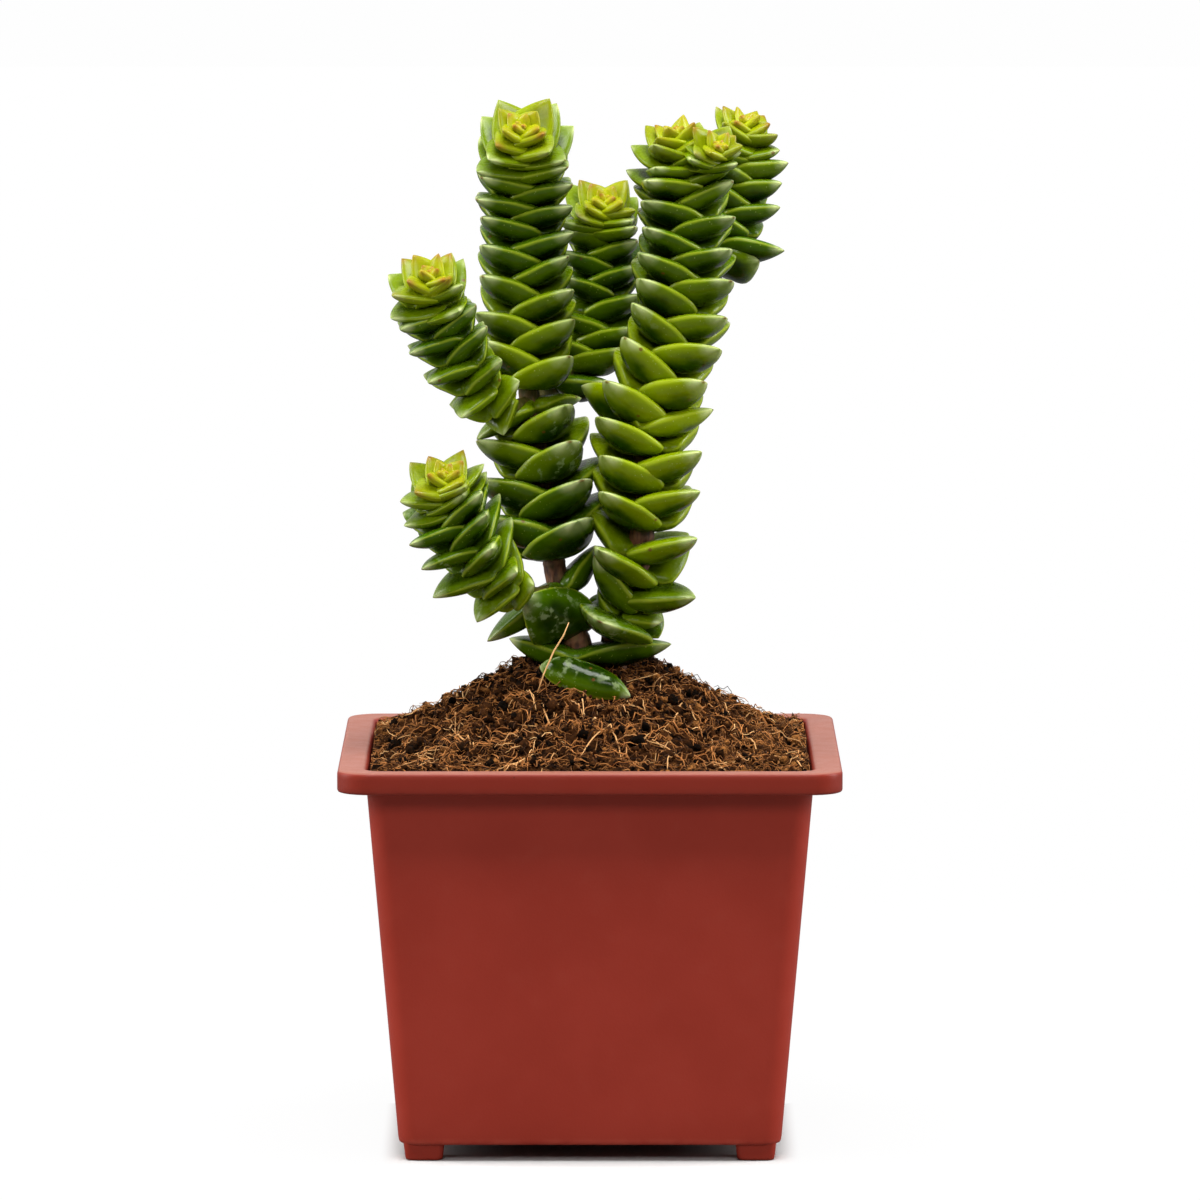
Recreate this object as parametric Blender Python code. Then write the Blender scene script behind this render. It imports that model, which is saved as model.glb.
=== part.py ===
"""A stacked crassula growing in a small square plastic nursery pot.

Everything is in metres, +Z up. The origin lies on the standing surface under the middle of the pot, and -Y is
the front. Each shoot is a bare woody stem that threads a stack of leaf pairs: every pair is one fused leaf
blade around the stem, turned a quarter turn from the pair below it, and a tight rosette closes the shoot.
Two or three neighbouring pairs make one leaf whorl, which is one object.
"""

import math
from dataclasses import dataclass, field

import bmesh
import bpy
from mathutils import Matrix, Vector

MM = 0.001
GAP = 0.3 * MM  # clearance that touching pieces keep

# ---------------------------------------------------------------- driving dimensions of the pot
RIM_HALF = 40.0 * MM
RIM_CORNER = 5.0 * MM
RIM_SKIRT = 3.5 * MM
POT_HEIGHT = 63.5 * MM
MOUTH_HALF = 35.3 * MM
BODY_TOP_HALF = 35.4 * MM
BODY_FOOT_HALF = 30.5 * MM
BODY_CORNER = 3.2 * MM
WALL = 1.4 * MM
EDGE_ROUND = 0.6 * MM
FOOT_HEIGHT = 2.6 * MM
FOOT_WIDTH = 6.5 * MM
FOOT_INSET = 0.8 * MM
DRAIN_RADIUS = 1.8 * MM
DRAIN_OFFSET = 15.0 * MM
RING_CORNER_STEPS = 3

# ---------------------------------------------------------------- driving dimensions of the soil
SOIL_EDGE_DROP = 0.4 * MM
SOIL_PEAK = 75.4 * MM
SOIL_PLATEAU = 11.0 * MM

# ---------------------------------------------------------------- driving dimensions of the plant
STEM_SIDES = 6
COLLAR_WALL = 0.6 * MM
BORE_CLEARANCE = 0.6 * MM
ROSETTE_PAIRS = 4


def steps_between(knots, at):
    """Value at a place along a shoot, from a few (place, value) knots with straight lines between them."""
    if at <= knots[0][0]:
        return knots[0][1]
    for (a, low), (b, high) in zip(knots, knots[1:]):
        if at <= b:
            return low + (high - low) * (at - a) / (b - a)
    return knots[-1][1]


# ---------------------------------------------------------------- materials
def plain_material(name, colour, roughness):
    material = bpy.data.materials.new(name)
    material.use_nodes = True
    shader = material.node_tree.nodes["Principled BSDF"]
    shader.inputs["Base Color"].default_value = (*colour, 1.0)
    shader.inputs["Roughness"].default_value = roughness
    shader.inputs["Metallic"].default_value = 0.0
    material.diffuse_color = (*colour, 1.0)
    return material


# ---------------------------------------------------------------- mesh helpers
def object_from(mesh_data, name, material):
    """Links a finished bmesh as a named object with its own material."""
    bmesh.ops.recalc_face_normals(mesh_data, faces=mesh_data.faces)
    mesh = bpy.data.meshes.new(name)
    mesh_data.to_mesh(mesh)
    mesh_data.free()
    mesh.materials.append(material)
    mesh.shade_smooth()
    mesh.set_sharp_from_angle(angle=math.radians(35))
    thing = bpy.data.objects.new(name, mesh)
    bpy.context.scene.collection.objects.link(thing)
    return thing


def combine(thing, other, operation):
    """Applies one Boolean to thing and removes the object that it used."""
    modifier = thing.modifiers.new("combine", "BOOLEAN")
    modifier.operation = operation
    modifier.object = other
    bpy.context.view_layer.update()
    graph = bpy.context.evaluated_depsgraph_get()
    made = bpy.data.meshes.new_from_object(thing.evaluated_get(graph))
    thing.modifiers.clear()
    thing.data = made
    bpy.data.objects.remove(other)
    return thing


def keep_largest(thing):
    """Drops the crumbs that a Boolean can leave beside the main body."""
    mesh_data = bmesh.new()
    mesh_data.from_mesh(thing.data)
    waiting = set(mesh_data.verts)
    islands = []
    while waiting:
        island = {waiting.pop()}
        edge_of_search = list(island)
        while edge_of_search:
            vertex = edge_of_search.pop()
            near = {edge.other_vert(vertex) for edge in vertex.link_edges} - island
            island |= near
            edge_of_search.extend(near)
        waiting -= island
        islands.append(island)
    largest = max(islands, key=len)
    loose = [vertex for island in islands if island is not largest for vertex in island]
    bmesh.ops.delete(mesh_data, geom=loose, context="VERTS")
    mesh_data.to_mesh(thing.data)
    mesh_data.free()
    return thing


def bridge_rings(mesh_data, rings, close_start=True, close_end=True):
    """Skins a list of equally long vertex rings and closes both ends."""
    for low, high in zip(rings, rings[1:]):
        count = len(low)
        for i in range(count):
            j = (i + 1) % count
            mesh_data.faces.new((low[i], low[j], high[j], high[i]))
    if close_start:
        mesh_data.faces.new(list(reversed(rings[0])))
    if close_end:
        mesh_data.faces.new(rings[-1])


def rounded_square(half, corner, z):
    """Points of a square ring with round corners, anticlockwise seen from above."""
    points = []
    for quarter in range(4):
        centre_angle = math.pi / 4 + quarter * math.pi / 2
        centre = Vector((math.copysign(half - corner, math.cos(centre_angle)),
                         math.copysign(half - corner, math.sin(centre_angle))))
        for step in range(RING_CORNER_STEPS + 1):
            angle = quarter * math.pi / 2 + step / RING_CORNER_STEPS * math.pi / 2
            points.append(Vector((centre.x + corner * math.cos(angle),
                                  centre.y + corner * math.sin(angle), z)))
    return points


# ---------------------------------------------------------------- pot
def wall_half(z):
    """Half width of the pot's outside at a height: the sides lean out evenly."""
    share = (z - FOOT_HEIGHT) / (POT_HEIGHT - RIM_SKIRT - FOOT_HEIGHT)
    return BODY_FOOT_HALF + (BODY_TOP_HALF - BODY_FOOT_HALF) * share


def make_pot(material):
    skirt_foot = POT_HEIGHT - RIM_SKIRT
    floor_top = FOOT_HEIGHT + WALL
    profile = [
        (BODY_FOOT_HALF - EDGE_ROUND, BODY_CORNER - EDGE_ROUND, FOOT_HEIGHT),
        (wall_half(FOOT_HEIGHT + EDGE_ROUND), BODY_CORNER, FOOT_HEIGHT + EDGE_ROUND),
        (BODY_TOP_HALF, BODY_CORNER, skirt_foot),
        (RIM_HALF - EDGE_ROUND, RIM_CORNER - EDGE_ROUND, skirt_foot),
        (RIM_HALF, RIM_CORNER, skirt_foot + EDGE_ROUND),
        (RIM_HALF, RIM_CORNER, POT_HEIGHT - EDGE_ROUND),
        (RIM_HALF - EDGE_ROUND, RIM_CORNER - EDGE_ROUND, POT_HEIGHT),
        (MOUTH_HALF + EDGE_ROUND / 2, BODY_CORNER, POT_HEIGHT),
        (MOUTH_HALF, BODY_CORNER, POT_HEIGHT - EDGE_ROUND),
        (BODY_TOP_HALF - WALL, BODY_CORNER - WALL / 2, skirt_foot),
        (wall_half(floor_top) - WALL, BODY_CORNER - WALL / 2, floor_top),
    ]
    shell = bmesh.new()
    rings = [[shell.verts.new(p) for p in rounded_square(*row)] for row in profile]
    bridge_rings(shell, rings)
    pot = object_from(shell, "pot", material)
    combine(pot, pot_feet(material), "UNION")
    combine(pot, drain_drills(material), "DIFFERENCE")
    return pot


def pot_feet(material):
    """Four square pads under the corners, drafted and sunk a little into the base."""
    feet = bmesh.new()
    reach = BODY_FOOT_HALF - FOOT_INSET - FOOT_WIDTH / 2
    for side_x in (-1, 1):
        for side_y in (-1, 1):
            made = bmesh.ops.create_cube(feet, size=1.0)["verts"]
            top = FOOT_HEIGHT + WALL / 2
            for v in made:
                share = 0.46 if v.co.z < 0 else 0.5
                v.co = Vector((side_x * reach + v.co.x / 0.5 * share * FOOT_WIDTH,
                               side_y * reach + v.co.y / 0.5 * share * FOOT_WIDTH,
                               0.0 if v.co.z < 0 else top))
    bmesh.ops.bevel(feet, geom=[e for e in feet.edges if abs(e.verts[0].co.z - e.verts[1].co.z) > MM],
                    offset=0.8 * MM, segments=1, profile=0.5, affect="EDGES")
    return object_from(feet, "foot_union", material)


def drain_drills(material):
    """Cutters of the five drain holes in the base."""
    drills = bmesh.new()
    places = [(0, 0)] + [(x, y) for x in (-1, 1) for y in (-1, 1)]
    for x, y in places:
        shift = Matrix.Translation((x * DRAIN_OFFSET, y * DRAIN_OFFSET, FOOT_HEIGHT + WALL / 2))
        bmesh.ops.create_cone(drills, cap_ends=True, segments=8, radius1=DRAIN_RADIUS,
                              radius2=DRAIN_RADIUS, depth=4 * WALL, matrix=shift)
    return object_from(drills, "drain_drills", material)


# ---------------------------------------------------------------- stems
class Route:
    """A stem's smooth centreline through its few points, walked by arc length."""

    STEPS = 10

    def __init__(self, points):
        self.points = self.smooth([Vector(p) * MM for p in points])
        self.lengths = [0.0]
        for a, b in zip(self.points, self.points[1:]):
            self.lengths.append(self.lengths[-1] + (b - a).length)
        self.total = self.lengths[-1]

    def smooth(self, points):
        ends = [2 * points[0] - points[1], *points, 2 * points[-1] - points[-2]]
        walked = []
        for a, b, c, d in zip(ends, ends[1:], ends[2:], ends[3:]):
            for i in range(self.STEPS):
                t = i / self.STEPS
                walked.append(0.5 * (2 * b + (c - a) * t + (2 * a - 5 * b + 4 * c - d) * t * t
                                     + (3 * b - a - 3 * c + d) * t ** 3))
        return [*walked, points[-1]]

    def at(self, along):
        """(place, direction) at an arc length. It runs on straight past either end."""
        lengths = self.lengths
        i = next((k for k in range(1, len(lengths) - 1) if lengths[k] >= along), len(lengths) - 1)
        share = (along - lengths[i - 1]) / (lengths[i] - lengths[i - 1])
        place = self.points[i - 1].lerp(self.points[i], share)
        before = self.points[max(i - 3, 0)]
        after = self.points[min(i + 2, len(self.points) - 1)]
        return place, (after - before).normalized()

    def frame(self, along):
        """Place, then right, back and up axes there: up runs along the stem, and back is the world's +Y."""
        place, up = self.at(along)
        back = (Vector((0, 1, 0)) - up * up.y).normalized()
        return place, back.cross(up), back, up


@dataclass
class Pair:
    """One fused pair of opposite leaves at an arc length of its shoot. lengths and tilts hold one value for the
    leaf that points along the azimuth and one for the leaf opposite; room is the height that the pair may fill."""

    along: float
    azimuth: float
    lengths: tuple
    half_width: float
    tilts: tuple
    room: float


@dataclass
class Shoot:
    """One stem with its leaves. Lengths are in millimetres and angles in degrees; each list of knots gives a
    value against the arc length from the stem's lower end, and a group is a run of pairs from one arc length to
    another. Azimuth 0 is a leaf that points to the front and 90 one that points right. lean lifts the leaves of
    the left side and lowers those of the right side. own_pairs are the uneven pairs at the foot of the shoot."""

    name: str
    route: list
    radius: list
    groups: list
    spacing: list
    azimuth: list
    length: list
    width: list
    tilt: list
    lean: list
    parent: str = ""
    thickness: float = 2.5
    pairs_per_whorl: int = 2
    own_pairs: list = field(default_factory=list)


SHOOTS = [
    Shoot(
        name="left",
        route=[(-0.6, 1.0, 61), (-0.6, 1.0, 72), (-1.4, 1.0, 77.5), (-2.6, 1.0, 81.5), (-4.9, 1.2, 87.5),
               (-6.4, 1.5, 96.3), (-8.1, 1.5, 107.7), (-9.7, 1.5, 119), (-10.2, 1.5, 130.3),
               (-10.5, 1.2, 143.2), (-10.6, 0.2, 151.3), (-11.1, -1.0, 157.3), (-11.6, -2.8, 162.5),
               (-12.0, -4.6, 166)],
        radius=[(0, 2.4), (20, 2.1), (27, 1.8), (60, 1.7), (90, 1.2), (103, 0.8)],
        groups=[(32.0, 57.5), (63.2, 98.8)],
        spacing=[(30, 3.1), (55, 3.05), (62, 2.9), (80, 2.45), (96, 2.15)],
        azimuth=[(30, 19), (44, 30), (65, 45), (85, 47), (103, 52)],
        length=[(30, 10.5), (56, 10.6), (65, 10.0), (85, 9.2), (96, 8.8)],
        width=[(30, 6.2), (56, 5.9), (65, 5.5), (96, 5.2)],
        tilt=[(30, 26), (65, 24), (80, 15), (96, 15)],
        lean=[(30, 0), (103, 0)],
        own_pairs=[Pair(14.6, 32, (14.2, 12.5), 5.6, (-8, -6), 2.5),
                   Pair(17.1, 84, (13.6, 13.0), 4.5, (3, 5), 2.5),
                   Pair(20.8, -30, (12.8, 11.0), 5.9, (48, 16), 2.7),
                   Pair(23.9, -82, (13.6, 8.6), 4.6, (-18, 46), 2.7)],
    ),
    Shoot(
        name="right",
        route=[(3.8, 2.6, 61), (3.8, 2.6, 70), (3.7, 2.2, 78.5), (4.6, 1.3, 82.0), (6.6, -1.0, 87.5),
               (7.9, -2.4, 94), (8.6, -3.0, 103), (9.0, -3.0, 112), (10.0, -3.0, 119), (12.6, -3.0, 127.3),
               (14.3, -3.0, 133.8), (15.1, -3.0, 141.8), (15.2, -3.2, 149.9), (16.0, -4.4, 155.8),
               (17.6, -6.4, 159.6)],
        radius=[(0, 2.1), (20, 2.1), (35, 2.0), (60, 1.7), (90, 1.2), (103, 0.8)],
        groups=[(27.0, 55.5), (60.4, 98.5)],
        spacing=[(27, 3.9), (34, 3.5), (42, 3.25), (62, 2.95), (80, 2.6), (96, 2.25)],
        azimuth=[(27, -16), (35, -33), (65, -45), (85, -47), (103, -45)],
        length=[(27, 11.3), (56, 10.9), (65, 10.4), (85, 9.4), (96, 9.2)],
        width=[(27, 6.1), (56, 5.9), (96, 5.2)],
        tilt=[(27, 26), (40, 28), (65, 26), (80, 16), (96, 16)],
        lean=[(27, 22), (35, 14), (55, 13), (65, 6), (103, 0)],
        own_pairs=[Pair(23.0, -14, (10.6, 9.0), 5.0, (10, 34), 2.8)],
    ),
    Shoot(
        name="middle",
        parent="left",
        route=[(-9.8, 1.5, 119.5), (-8.2, 7.4, 119.4), (-4.0, 12.8, 120.8), (0.2, 15.2, 125),
               (1.7, 15.7, 131.5), (1.7, 15.4, 140), (1.6, 14.6, 147), (1.5, 13.4, 153.5)],
        radius=[(0, 1.2), (12, 1.2), (42, 0.9)],
        groups=[(16.6, 40.0)],
        spacing=[(16, 3.4), (22, 2.95), (38, 2.35)],
        azimuth=[(14, -50), (40, -42)],
        length=[(14, 8.4), (38, 8.2)],
        width=[(14, 5.0), (38, 4.9)],
        tilt=[(14, 22), (38, 20)],
        lean=[(14, 0), (38, 0)],
        thickness=2.3,
        pairs_per_whorl=3,
    ),
    Shoot(
        name="back_right",
        parent="right",
        route=[(9.6, -3.0, 116.9), (11.4, 3.5, 117.4), (14.0, 10.0, 120.4), (17.0, 13.6, 127), (20.0, 14.8, 135),
               (22.6, 15.5, 143), (24.0, 16.0, 150), (25.0, 16.0, 156.5), (25.3, 15.4, 163.5)],
        radius=[(0, 1.2), (12, 1.2), (50, 0.9)],
        groups=[(24.0, 51.5)],
        spacing=[(24, 3.3), (46, 2.6)],
        azimuth=[(24, 50), (56, 48)],
        length=[(24, 9.6), (46, 8.8)],
        width=[(24, 5.2), (46, 4.9)],
        tilt=[(24, 22), (46, 20)],
        lean=[(24, 6), (50, 0)],
        thickness=2.4,
    ),
    Shoot(
        name="upper_left",
        parent="left",
        route=[(-9.6, 1.5, 118.6), (-12.5, -3.0, 118.2), (-16.0, -8.3, 119.8), (-19.5, -11.3, 124.2),
               (-22.2, -13.0, 129.8), (-24.4, -14.2, 135.4), (-26.2, -15.2, 141.2)],
        radius=[(0, 1.2), (10, 1.1), (32, 0.9)],
        groups=[(8.8, 31.5)],
        spacing=[(8, 2.9), (15, 2.8), (28, 2.3)],
        azimuth=[(8, -40), (32, -42)],
        length=[(8, 5.0), (15, 7.4), (28, 8.3)],
        width=[(8, 3.6), (15, 4.3), (28, 4.8)],
        tilt=[(8, 14), (15, 20), (28, 22)],
        lean=[(8, 0), (32, 0)],
        thickness=1.9,
        pairs_per_whorl=3,
    ),
    Shoot(
        name="lower_left",
        parent="left",
        route=[(-4.9, 1.1, 88.3), (-8.7, -4.4, 88.1), (-13.2, -9.4, 90.4), (-17.0, -12.3, 95.6),
               (-20.6, -13.5, 101.6), (-23.8, -15.0, 108.6)],
        radius=[(0, 1.2), (10, 1.1), (30, 0.9)],
        groups=[(8.8, 29.3)],
        spacing=[(7, 2.9), (14, 2.7), (26, 2.3)],
        azimuth=[(8, 30), (30, 20)],
        length=[(7, 5.4), (14, 7.4), (26, 8.3)],
        width=[(7, 3.6), (14, 4.3), (26, 4.8)],
        tilt=[(7, 14), (14, 20), (26, 24)],
        lean=[(8, 0), (30, 0)],
        thickness=1.7,
        pairs_per_whorl=3,
    ),
]


def radius_at(shoot, along):
    return steps_between(shoot.radius, along) * MM


def make_stem(name, shoot, route, top, material, extra=0.0, side_count=STEM_SIDES):
    """A tapering tube along the route, from its lower end to an arc length."""
    tube = bmesh.new()
    count = max(5, round(top / (4.2 * MM)))
    rings = []
    for i in range(count + 1):
        along = top * i / count
        place, right, back, _ = route.frame(along)
        radius = radius_at(shoot, along / MM) + extra
        ring = []
        for k in range(side_count):
            angle = 2 * math.pi * k / side_count
            ring.append(tube.verts.new(place + radius * (math.cos(angle) * right + math.sin(angle) * back)))
        rings.append(ring)
    bridge_rings(tube, rings)
    return object_from(tube, name, material)


# ---------------------------------------------------------------- leaves
def list_whorls(shoot):
    """The leaf pairs of a shoot below its rosette, from the bottom up, two by two."""
    groups = [list(shoot.own_pairs)]
    count = len(shoot.own_pairs)
    for start, end in shoot.groups:
        along = start
        groups.append([])
        while along <= end:
            groups[-1].append(regular_pair(shoot, along, count))
            along += steps_between(shoot.spacing, along)
            count += 1
    step = shoot.pairs_per_whorl
    return [group[i:i + step] for group in groups for i in range(0, len(group), step)]


def regular_pair(shoot, along, index):
    azimuth = steps_between(shoot.azimuth, along) + 90 * (index % 2)
    tilt = steps_between(shoot.tilt, along)
    swing = steps_between(shoot.lean, along) * math.sin(math.radians(azimuth))
    length = steps_between(shoot.length, along)
    return Pair(along, azimuth, (length, length), steps_between(shoot.width, along),
                (tilt - swing, tilt + swing), steps_between(shoot.spacing, along))


def bent(x, height, tilt, length):
    """Where a point at x along the leaf and height above its midrib goes once the leaf rises from the stem: it
    leaves the stem level, reaches its tilt at a third of its length, and then curls up a little more."""
    root = 0.33 * length
    steps = 8
    reach = rise = angle = 0.0
    for i in range(steps):
        at = x * (i + 0.5) / steps
        angle = tilt * min(1.0, at / root) + math.radians(8) * max(0.0, (at - root) / length)
        reach += math.cos(angle) * x / steps
        rise += math.sin(angle) * x / steps
    return reach - math.sin(angle) * height, rise + math.cos(angle) * height


def leaf_outline(length, half_width, waist):
    """The edge of one leaf of a pair from one seam to just before the other, as (x, y), its tip in the middle."""
    return [(0.0, waist), (0.37 * length, half_width), (0.74 * length, 0.70 * half_width), (length, 0.0),
            (0.74 * length, -0.70 * half_width), (0.37 * length, -half_width)]


def add_pair(blades, route, pair, core, belly, grow=0.0):
    """Adds one fused pair to a bmesh: a blade with a nearly flat top and a full belly that passes through the
    axis. core is half its thickness at the axis and belly how far the underside hangs. grow swells all of it."""
    place, right, back, up = route.frame(pair.along * MM)
    waist = core + 3.0 + grow
    edge, under, ribs = [], [], []
    for side in (0, 1):
        length = pair.lengths[side] + 1.5 * grow
        tilt = math.radians(pair.tilts[side])
        turn = math.radians(pair.azimuth + 180 * side)
        outward = math.sin(turn) * right - math.cos(turn) * back
        across = up.cross(outward)

        def spot(x, y, height):
            reach, rise = bent(x, height, tilt, length)
            return blades.verts.new(place + (outward * reach + across * y + up * rise) * MM)

        ribs.append(spot(0.42 * length, 0.0, 0.1 + grow))
        for x, y in leaf_outline(length, pair.half_width + grow, waist):
            hang = belly if x > 0.5 * length else min(belly, pair.room - core - 0.8)
            edge.append(spot(x, y, 0.0))
            under.append(spot(x * 0.56, y * 0.56, -(hang if x > 0 else core) - grow))
    top = blades.verts.new(place + up * (core + grow) * MM)
    bottom = blades.verts.new(place - up * (core + grow) * MM)
    tip = len(edge) // 4
    for i in range(len(edge)):
        j = (i + 1) % len(edge)
        side = 2 * i // len(edge)
        near_seam = (i - side * 2 * tip) in (0, 2 * tip - 1)
        blades.faces.new((top if near_seam else ribs[side], edge[i], edge[j]))
        blades.faces.new((edge[i], under[i], under[j], edge[j]))
        blades.faces.new((under[i], bottom, under[j]))
    for side, rib in enumerate(ribs):
        first = side * 2 * tip
        blades.faces.new((top, edge[first + 1], rib))
        blades.faces.new((top, rib, edge[(first + 2 * tip - 1) % len(edge)]))


def core_of(pair):
    return 0.5 * (pair.room - 0.6)


def swollen_pair(made, number, material, grow=0.5):
    """A cutter that clears the room which one of a shoot's own pairs takes up, and a little more."""
    shoot, route = made
    pair = shoot.own_pairs[number]
    blades = bmesh.new()
    add_pair(blades, route, pair, core_of(pair), shoot.thickness * 0.78, grow)
    return object_from(blades, "swollen_pair", material)


def tube_piece(name, route, low, high, radius, material, sides=STEM_SIDES):
    """A closed tube that follows the stem between two arc lengths."""
    count = max(1, round((high - low) / (5.2 * MM)))
    piece = bmesh.new()
    rings = []
    for i in range(count + 1):
        place, right, back, _ = route.frame(low + (high - low) * i / count)
        ring = []
        for k in range(sides):
            angle = 2 * math.pi * k / sides
            ring.append(piece.verts.new(place + radius * (math.cos(angle) * right + math.sin(angle) * back)))
        rings.append(ring)
    bridge_rings(piece, rings)
    return object_from(piece, name, material)


def make_whorl(name, shoot, route, pairs, material):
    """Crossed leaf pairs joined by the collar that they share, bored for the stem."""
    low, high = pairs[0].along, pairs[-1].along
    core = min(core_of(pair) for pair in pairs)
    stem = radius_at(shoot, low)
    bore_radius = stem + BORE_CLEARANCE
    whorl = tube_piece(name, route, (low - core * 1.04) * MM, (high + core * 1.04) * MM,
                       bore_radius + COLLAR_WALL, material)
    for pair in pairs:
        blades = bmesh.new()
        add_pair(blades, route, pair, core, shoot.thickness * 0.78)
        combine(whorl, object_from(blades, "blade", material), "UNION")
    bore = tube_piece("bore", route, (low - 4) * MM, (high + 4) * MM, bore_radius, material)
    return combine(whorl, bore, "DIFFERENCE")


def make_rosette(name, shoot, route, start, azimuth, material):
    """The closed tip of a shoot: pairs that shrink and rise towards a small pointed bud."""
    length = steps_between(shoot.length, start)
    half_width = steps_between(shoot.width, start)
    low = start * MM
    rosette = tube_piece(name, route, low, low + 3.4 * MM, 1.4 * MM, material)
    for i in range(ROSETTE_PAIRS):
        share = i / (ROSETTE_PAIRS - 1)
        size = 1.0 - 0.62 * share
        pair = Pair(start + 0.9 + 1.15 * i, azimuth + 90 * i, (length * size * 0.98,) * 2, half_width * size,
                    (22 + 40 * share,) * 2, 2.0)
        blades = bmesh.new()
        add_pair(blades, route, pair, 0.7 - 0.3 * share, 1.5 - 0.8 * share)
        combine(rosette, object_from(blades, "blade", material), "UNION")
    return rosette


def make_shoot(shoot, parent, stem_material, leaf_material):
    route = Route(shoot.route)
    whorls = list_whorls(shoot)
    last = whorls[-1][-1]
    rosette_start = last.along + last.room * 0.5 + 0.35
    stem = make_stem(f"stem_{shoot.name}", shoot, route, rosette_start * MM - GAP, stem_material)
    if parent:
        other_shoot, other_route = parent
        cutter = make_stem("parent_cut", other_shoot, other_route, other_route.total * 0.9, stem_material,
                           extra=GAP, side_count=14)
        combine(stem, cutter, "DIFFERENCE")
    for number, pairs in enumerate(whorls):
        make_whorl(f"leaves_{shoot.name}_{number + 1:02d}", shoot, route, pairs, leaf_material)
    make_rosette(f"rosette_{shoot.name}", shoot, route, rosette_start, last.azimuth + 90, leaf_material)
    return shoot, route


def part_neighbours(made, stem_material, leaf_material):
    """Notches the crowded leaves where another shoot's stem or a larger leaf presses on them."""
    crossed = [("left_01", "right", 34), ("left_02", "right", 34), ("left_02", "lower_left", 20),
               ("left_07", "upper_left", 16)]
    for leaves, name, reach in crossed:
        shoot, route = made[name]
        cutter = make_stem("stem_cut", shoot, route, reach * MM, stem_material, extra=GAP * 1.4)
        combine(bpy.data.objects[f"leaves_{leaves}"], cutter, "DIFFERENCE")
    pressed = [("left_01", "right", 0), ("left_02", "right", 0), ("lower_left_01", "left", 2)]
    for leaves, name, number in pressed:
        cutter = swollen_pair(made[name], number, leaf_material, 1.1)
        combine(bpy.data.objects[f"leaves_{leaves}"], cutter, "DIFFERENCE")


# ---------------------------------------------------------------- soil
def soil_height(x, y):
    """Height of the heaped soil over a place in the pot: a plateau under the plant and slopes to the walls."""
    away = math.hypot(x, y)
    edge = POT_HEIGHT - SOIL_EDGE_DROP
    slope = max(0.0, 1.0 - max(0.0, away - SOIL_PLATEAU) / (MOUTH_HALF * 1.06 - SOIL_PLATEAU))
    lumps = 0.5 * MM * (math.sin(x / (4.1 * MM)) + math.cos(y / (3.3 * MM) + x / (7 * MM))) * slope
    return edge + (SOIL_PEAK - edge) * slope ** 0.8 + lumps


def make_soil(routes, material):
    """The heaped potting mix, clear of the pot's walls, with a socket for each stem that roots in it."""
    floor_top = FOOT_HEIGHT + WALL + GAP
    edge_top = POT_HEIGHT - SOIL_EDGE_DROP
    skirt_foot = POT_HEIGHT - RIM_SKIRT
    profile = [
        (wall_half(floor_top) - WALL - GAP, floor_top),
        (BODY_TOP_HALF - WALL - GAP, skirt_foot),
        (MOUTH_HALF - GAP * 1.4, edge_top),
    ]
    heap = bmesh.new()
    rings = [[heap.verts.new(p) for p in rounded_square(half, BODY_CORNER - WALL, z)] for half, z in profile]
    outer = rounded_square(profile[-1][0], BODY_CORNER - WALL, 0.0)
    for share in (0.84, 0.67, 0.5, 0.34, 0.17):
        ring = []
        for p in outer:
            round_point = p.normalized() * MOUTH_HALF
            spot = p.lerp(round_point, 1.0 - share) * share
            ring.append(heap.verts.new((spot.x, spot.y, soil_height(spot.x, spot.y))))
        rings.append(ring)
    bridge_rings(heap, rings, close_end=False)
    peak = heap.verts.new((0.0, 0.0, soil_height(0.0, 0.0)))
    last = rings[-1]
    for i, vertex in enumerate(last):
        heap.faces.new((vertex, last[(i + 1) % len(last)], peak))
    soil = object_from(heap, "soil", material)
    for shoot, route in routes:
        socket = make_stem("socket", shoot, route, 22 * MM, material, extra=GAP * 1.2)
        socket.location.z = -GAP
        combine(soil, socket, "DIFFERENCE")
    shoot, route = routes[0]
    for number in (0, 1):
        combine(soil, swollen_pair(routes[0], number, material, 0.7), "DIFFERENCE")
    collar = radius_at(shoot, 14.0) + BORE_CLEARANCE + COLLAR_WALL + GAP * 1.5
    combine(soil, tube_piece("collar_cut", route, 12.6 * MM, 24.0 * MM, collar, material, 12), "DIFFERENCE")
    return keep_largest(soil)


def main():
    for thing in list(bpy.data.objects):
        bpy.data.objects.remove(thing)
    pot_material = plain_material("terracotta_plastic", (0.33, 0.045, 0.030), 0.45)
    soil_material = plain_material("coir_mix", (0.075, 0.035, 0.016), 0.95)
    stem_material = plain_material("woody_stem", (0.13, 0.060, 0.035), 0.7)
    leaf_material = plain_material("fleshy_leaf", (0.16, 0.30, 0.02), 0.35)
    make_pot(pot_material)
    made = {}
    for shoot in SHOOTS:
        made[shoot.name] = make_shoot(shoot, made.get(shoot.parent), stem_material, leaf_material)
    part_neighbours(made, stem_material, leaf_material)
    make_soil([made[name] for name in ("left", "right")], soil_material)


main()
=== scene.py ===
"""Looks of the stacked crassula in its square plastic pot.

The sections follow the plant as it is potted up: the pot, the soil, the stems, the leaf pairs from the
foot of each shoot to its tip, and last the table, the lamps and the camera. Everything is in metres.
"""

import math
from dataclasses import dataclass, field

import bmesh
import bpy
import numpy as np
from mathutils import Matrix, Vector, noise


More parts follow.
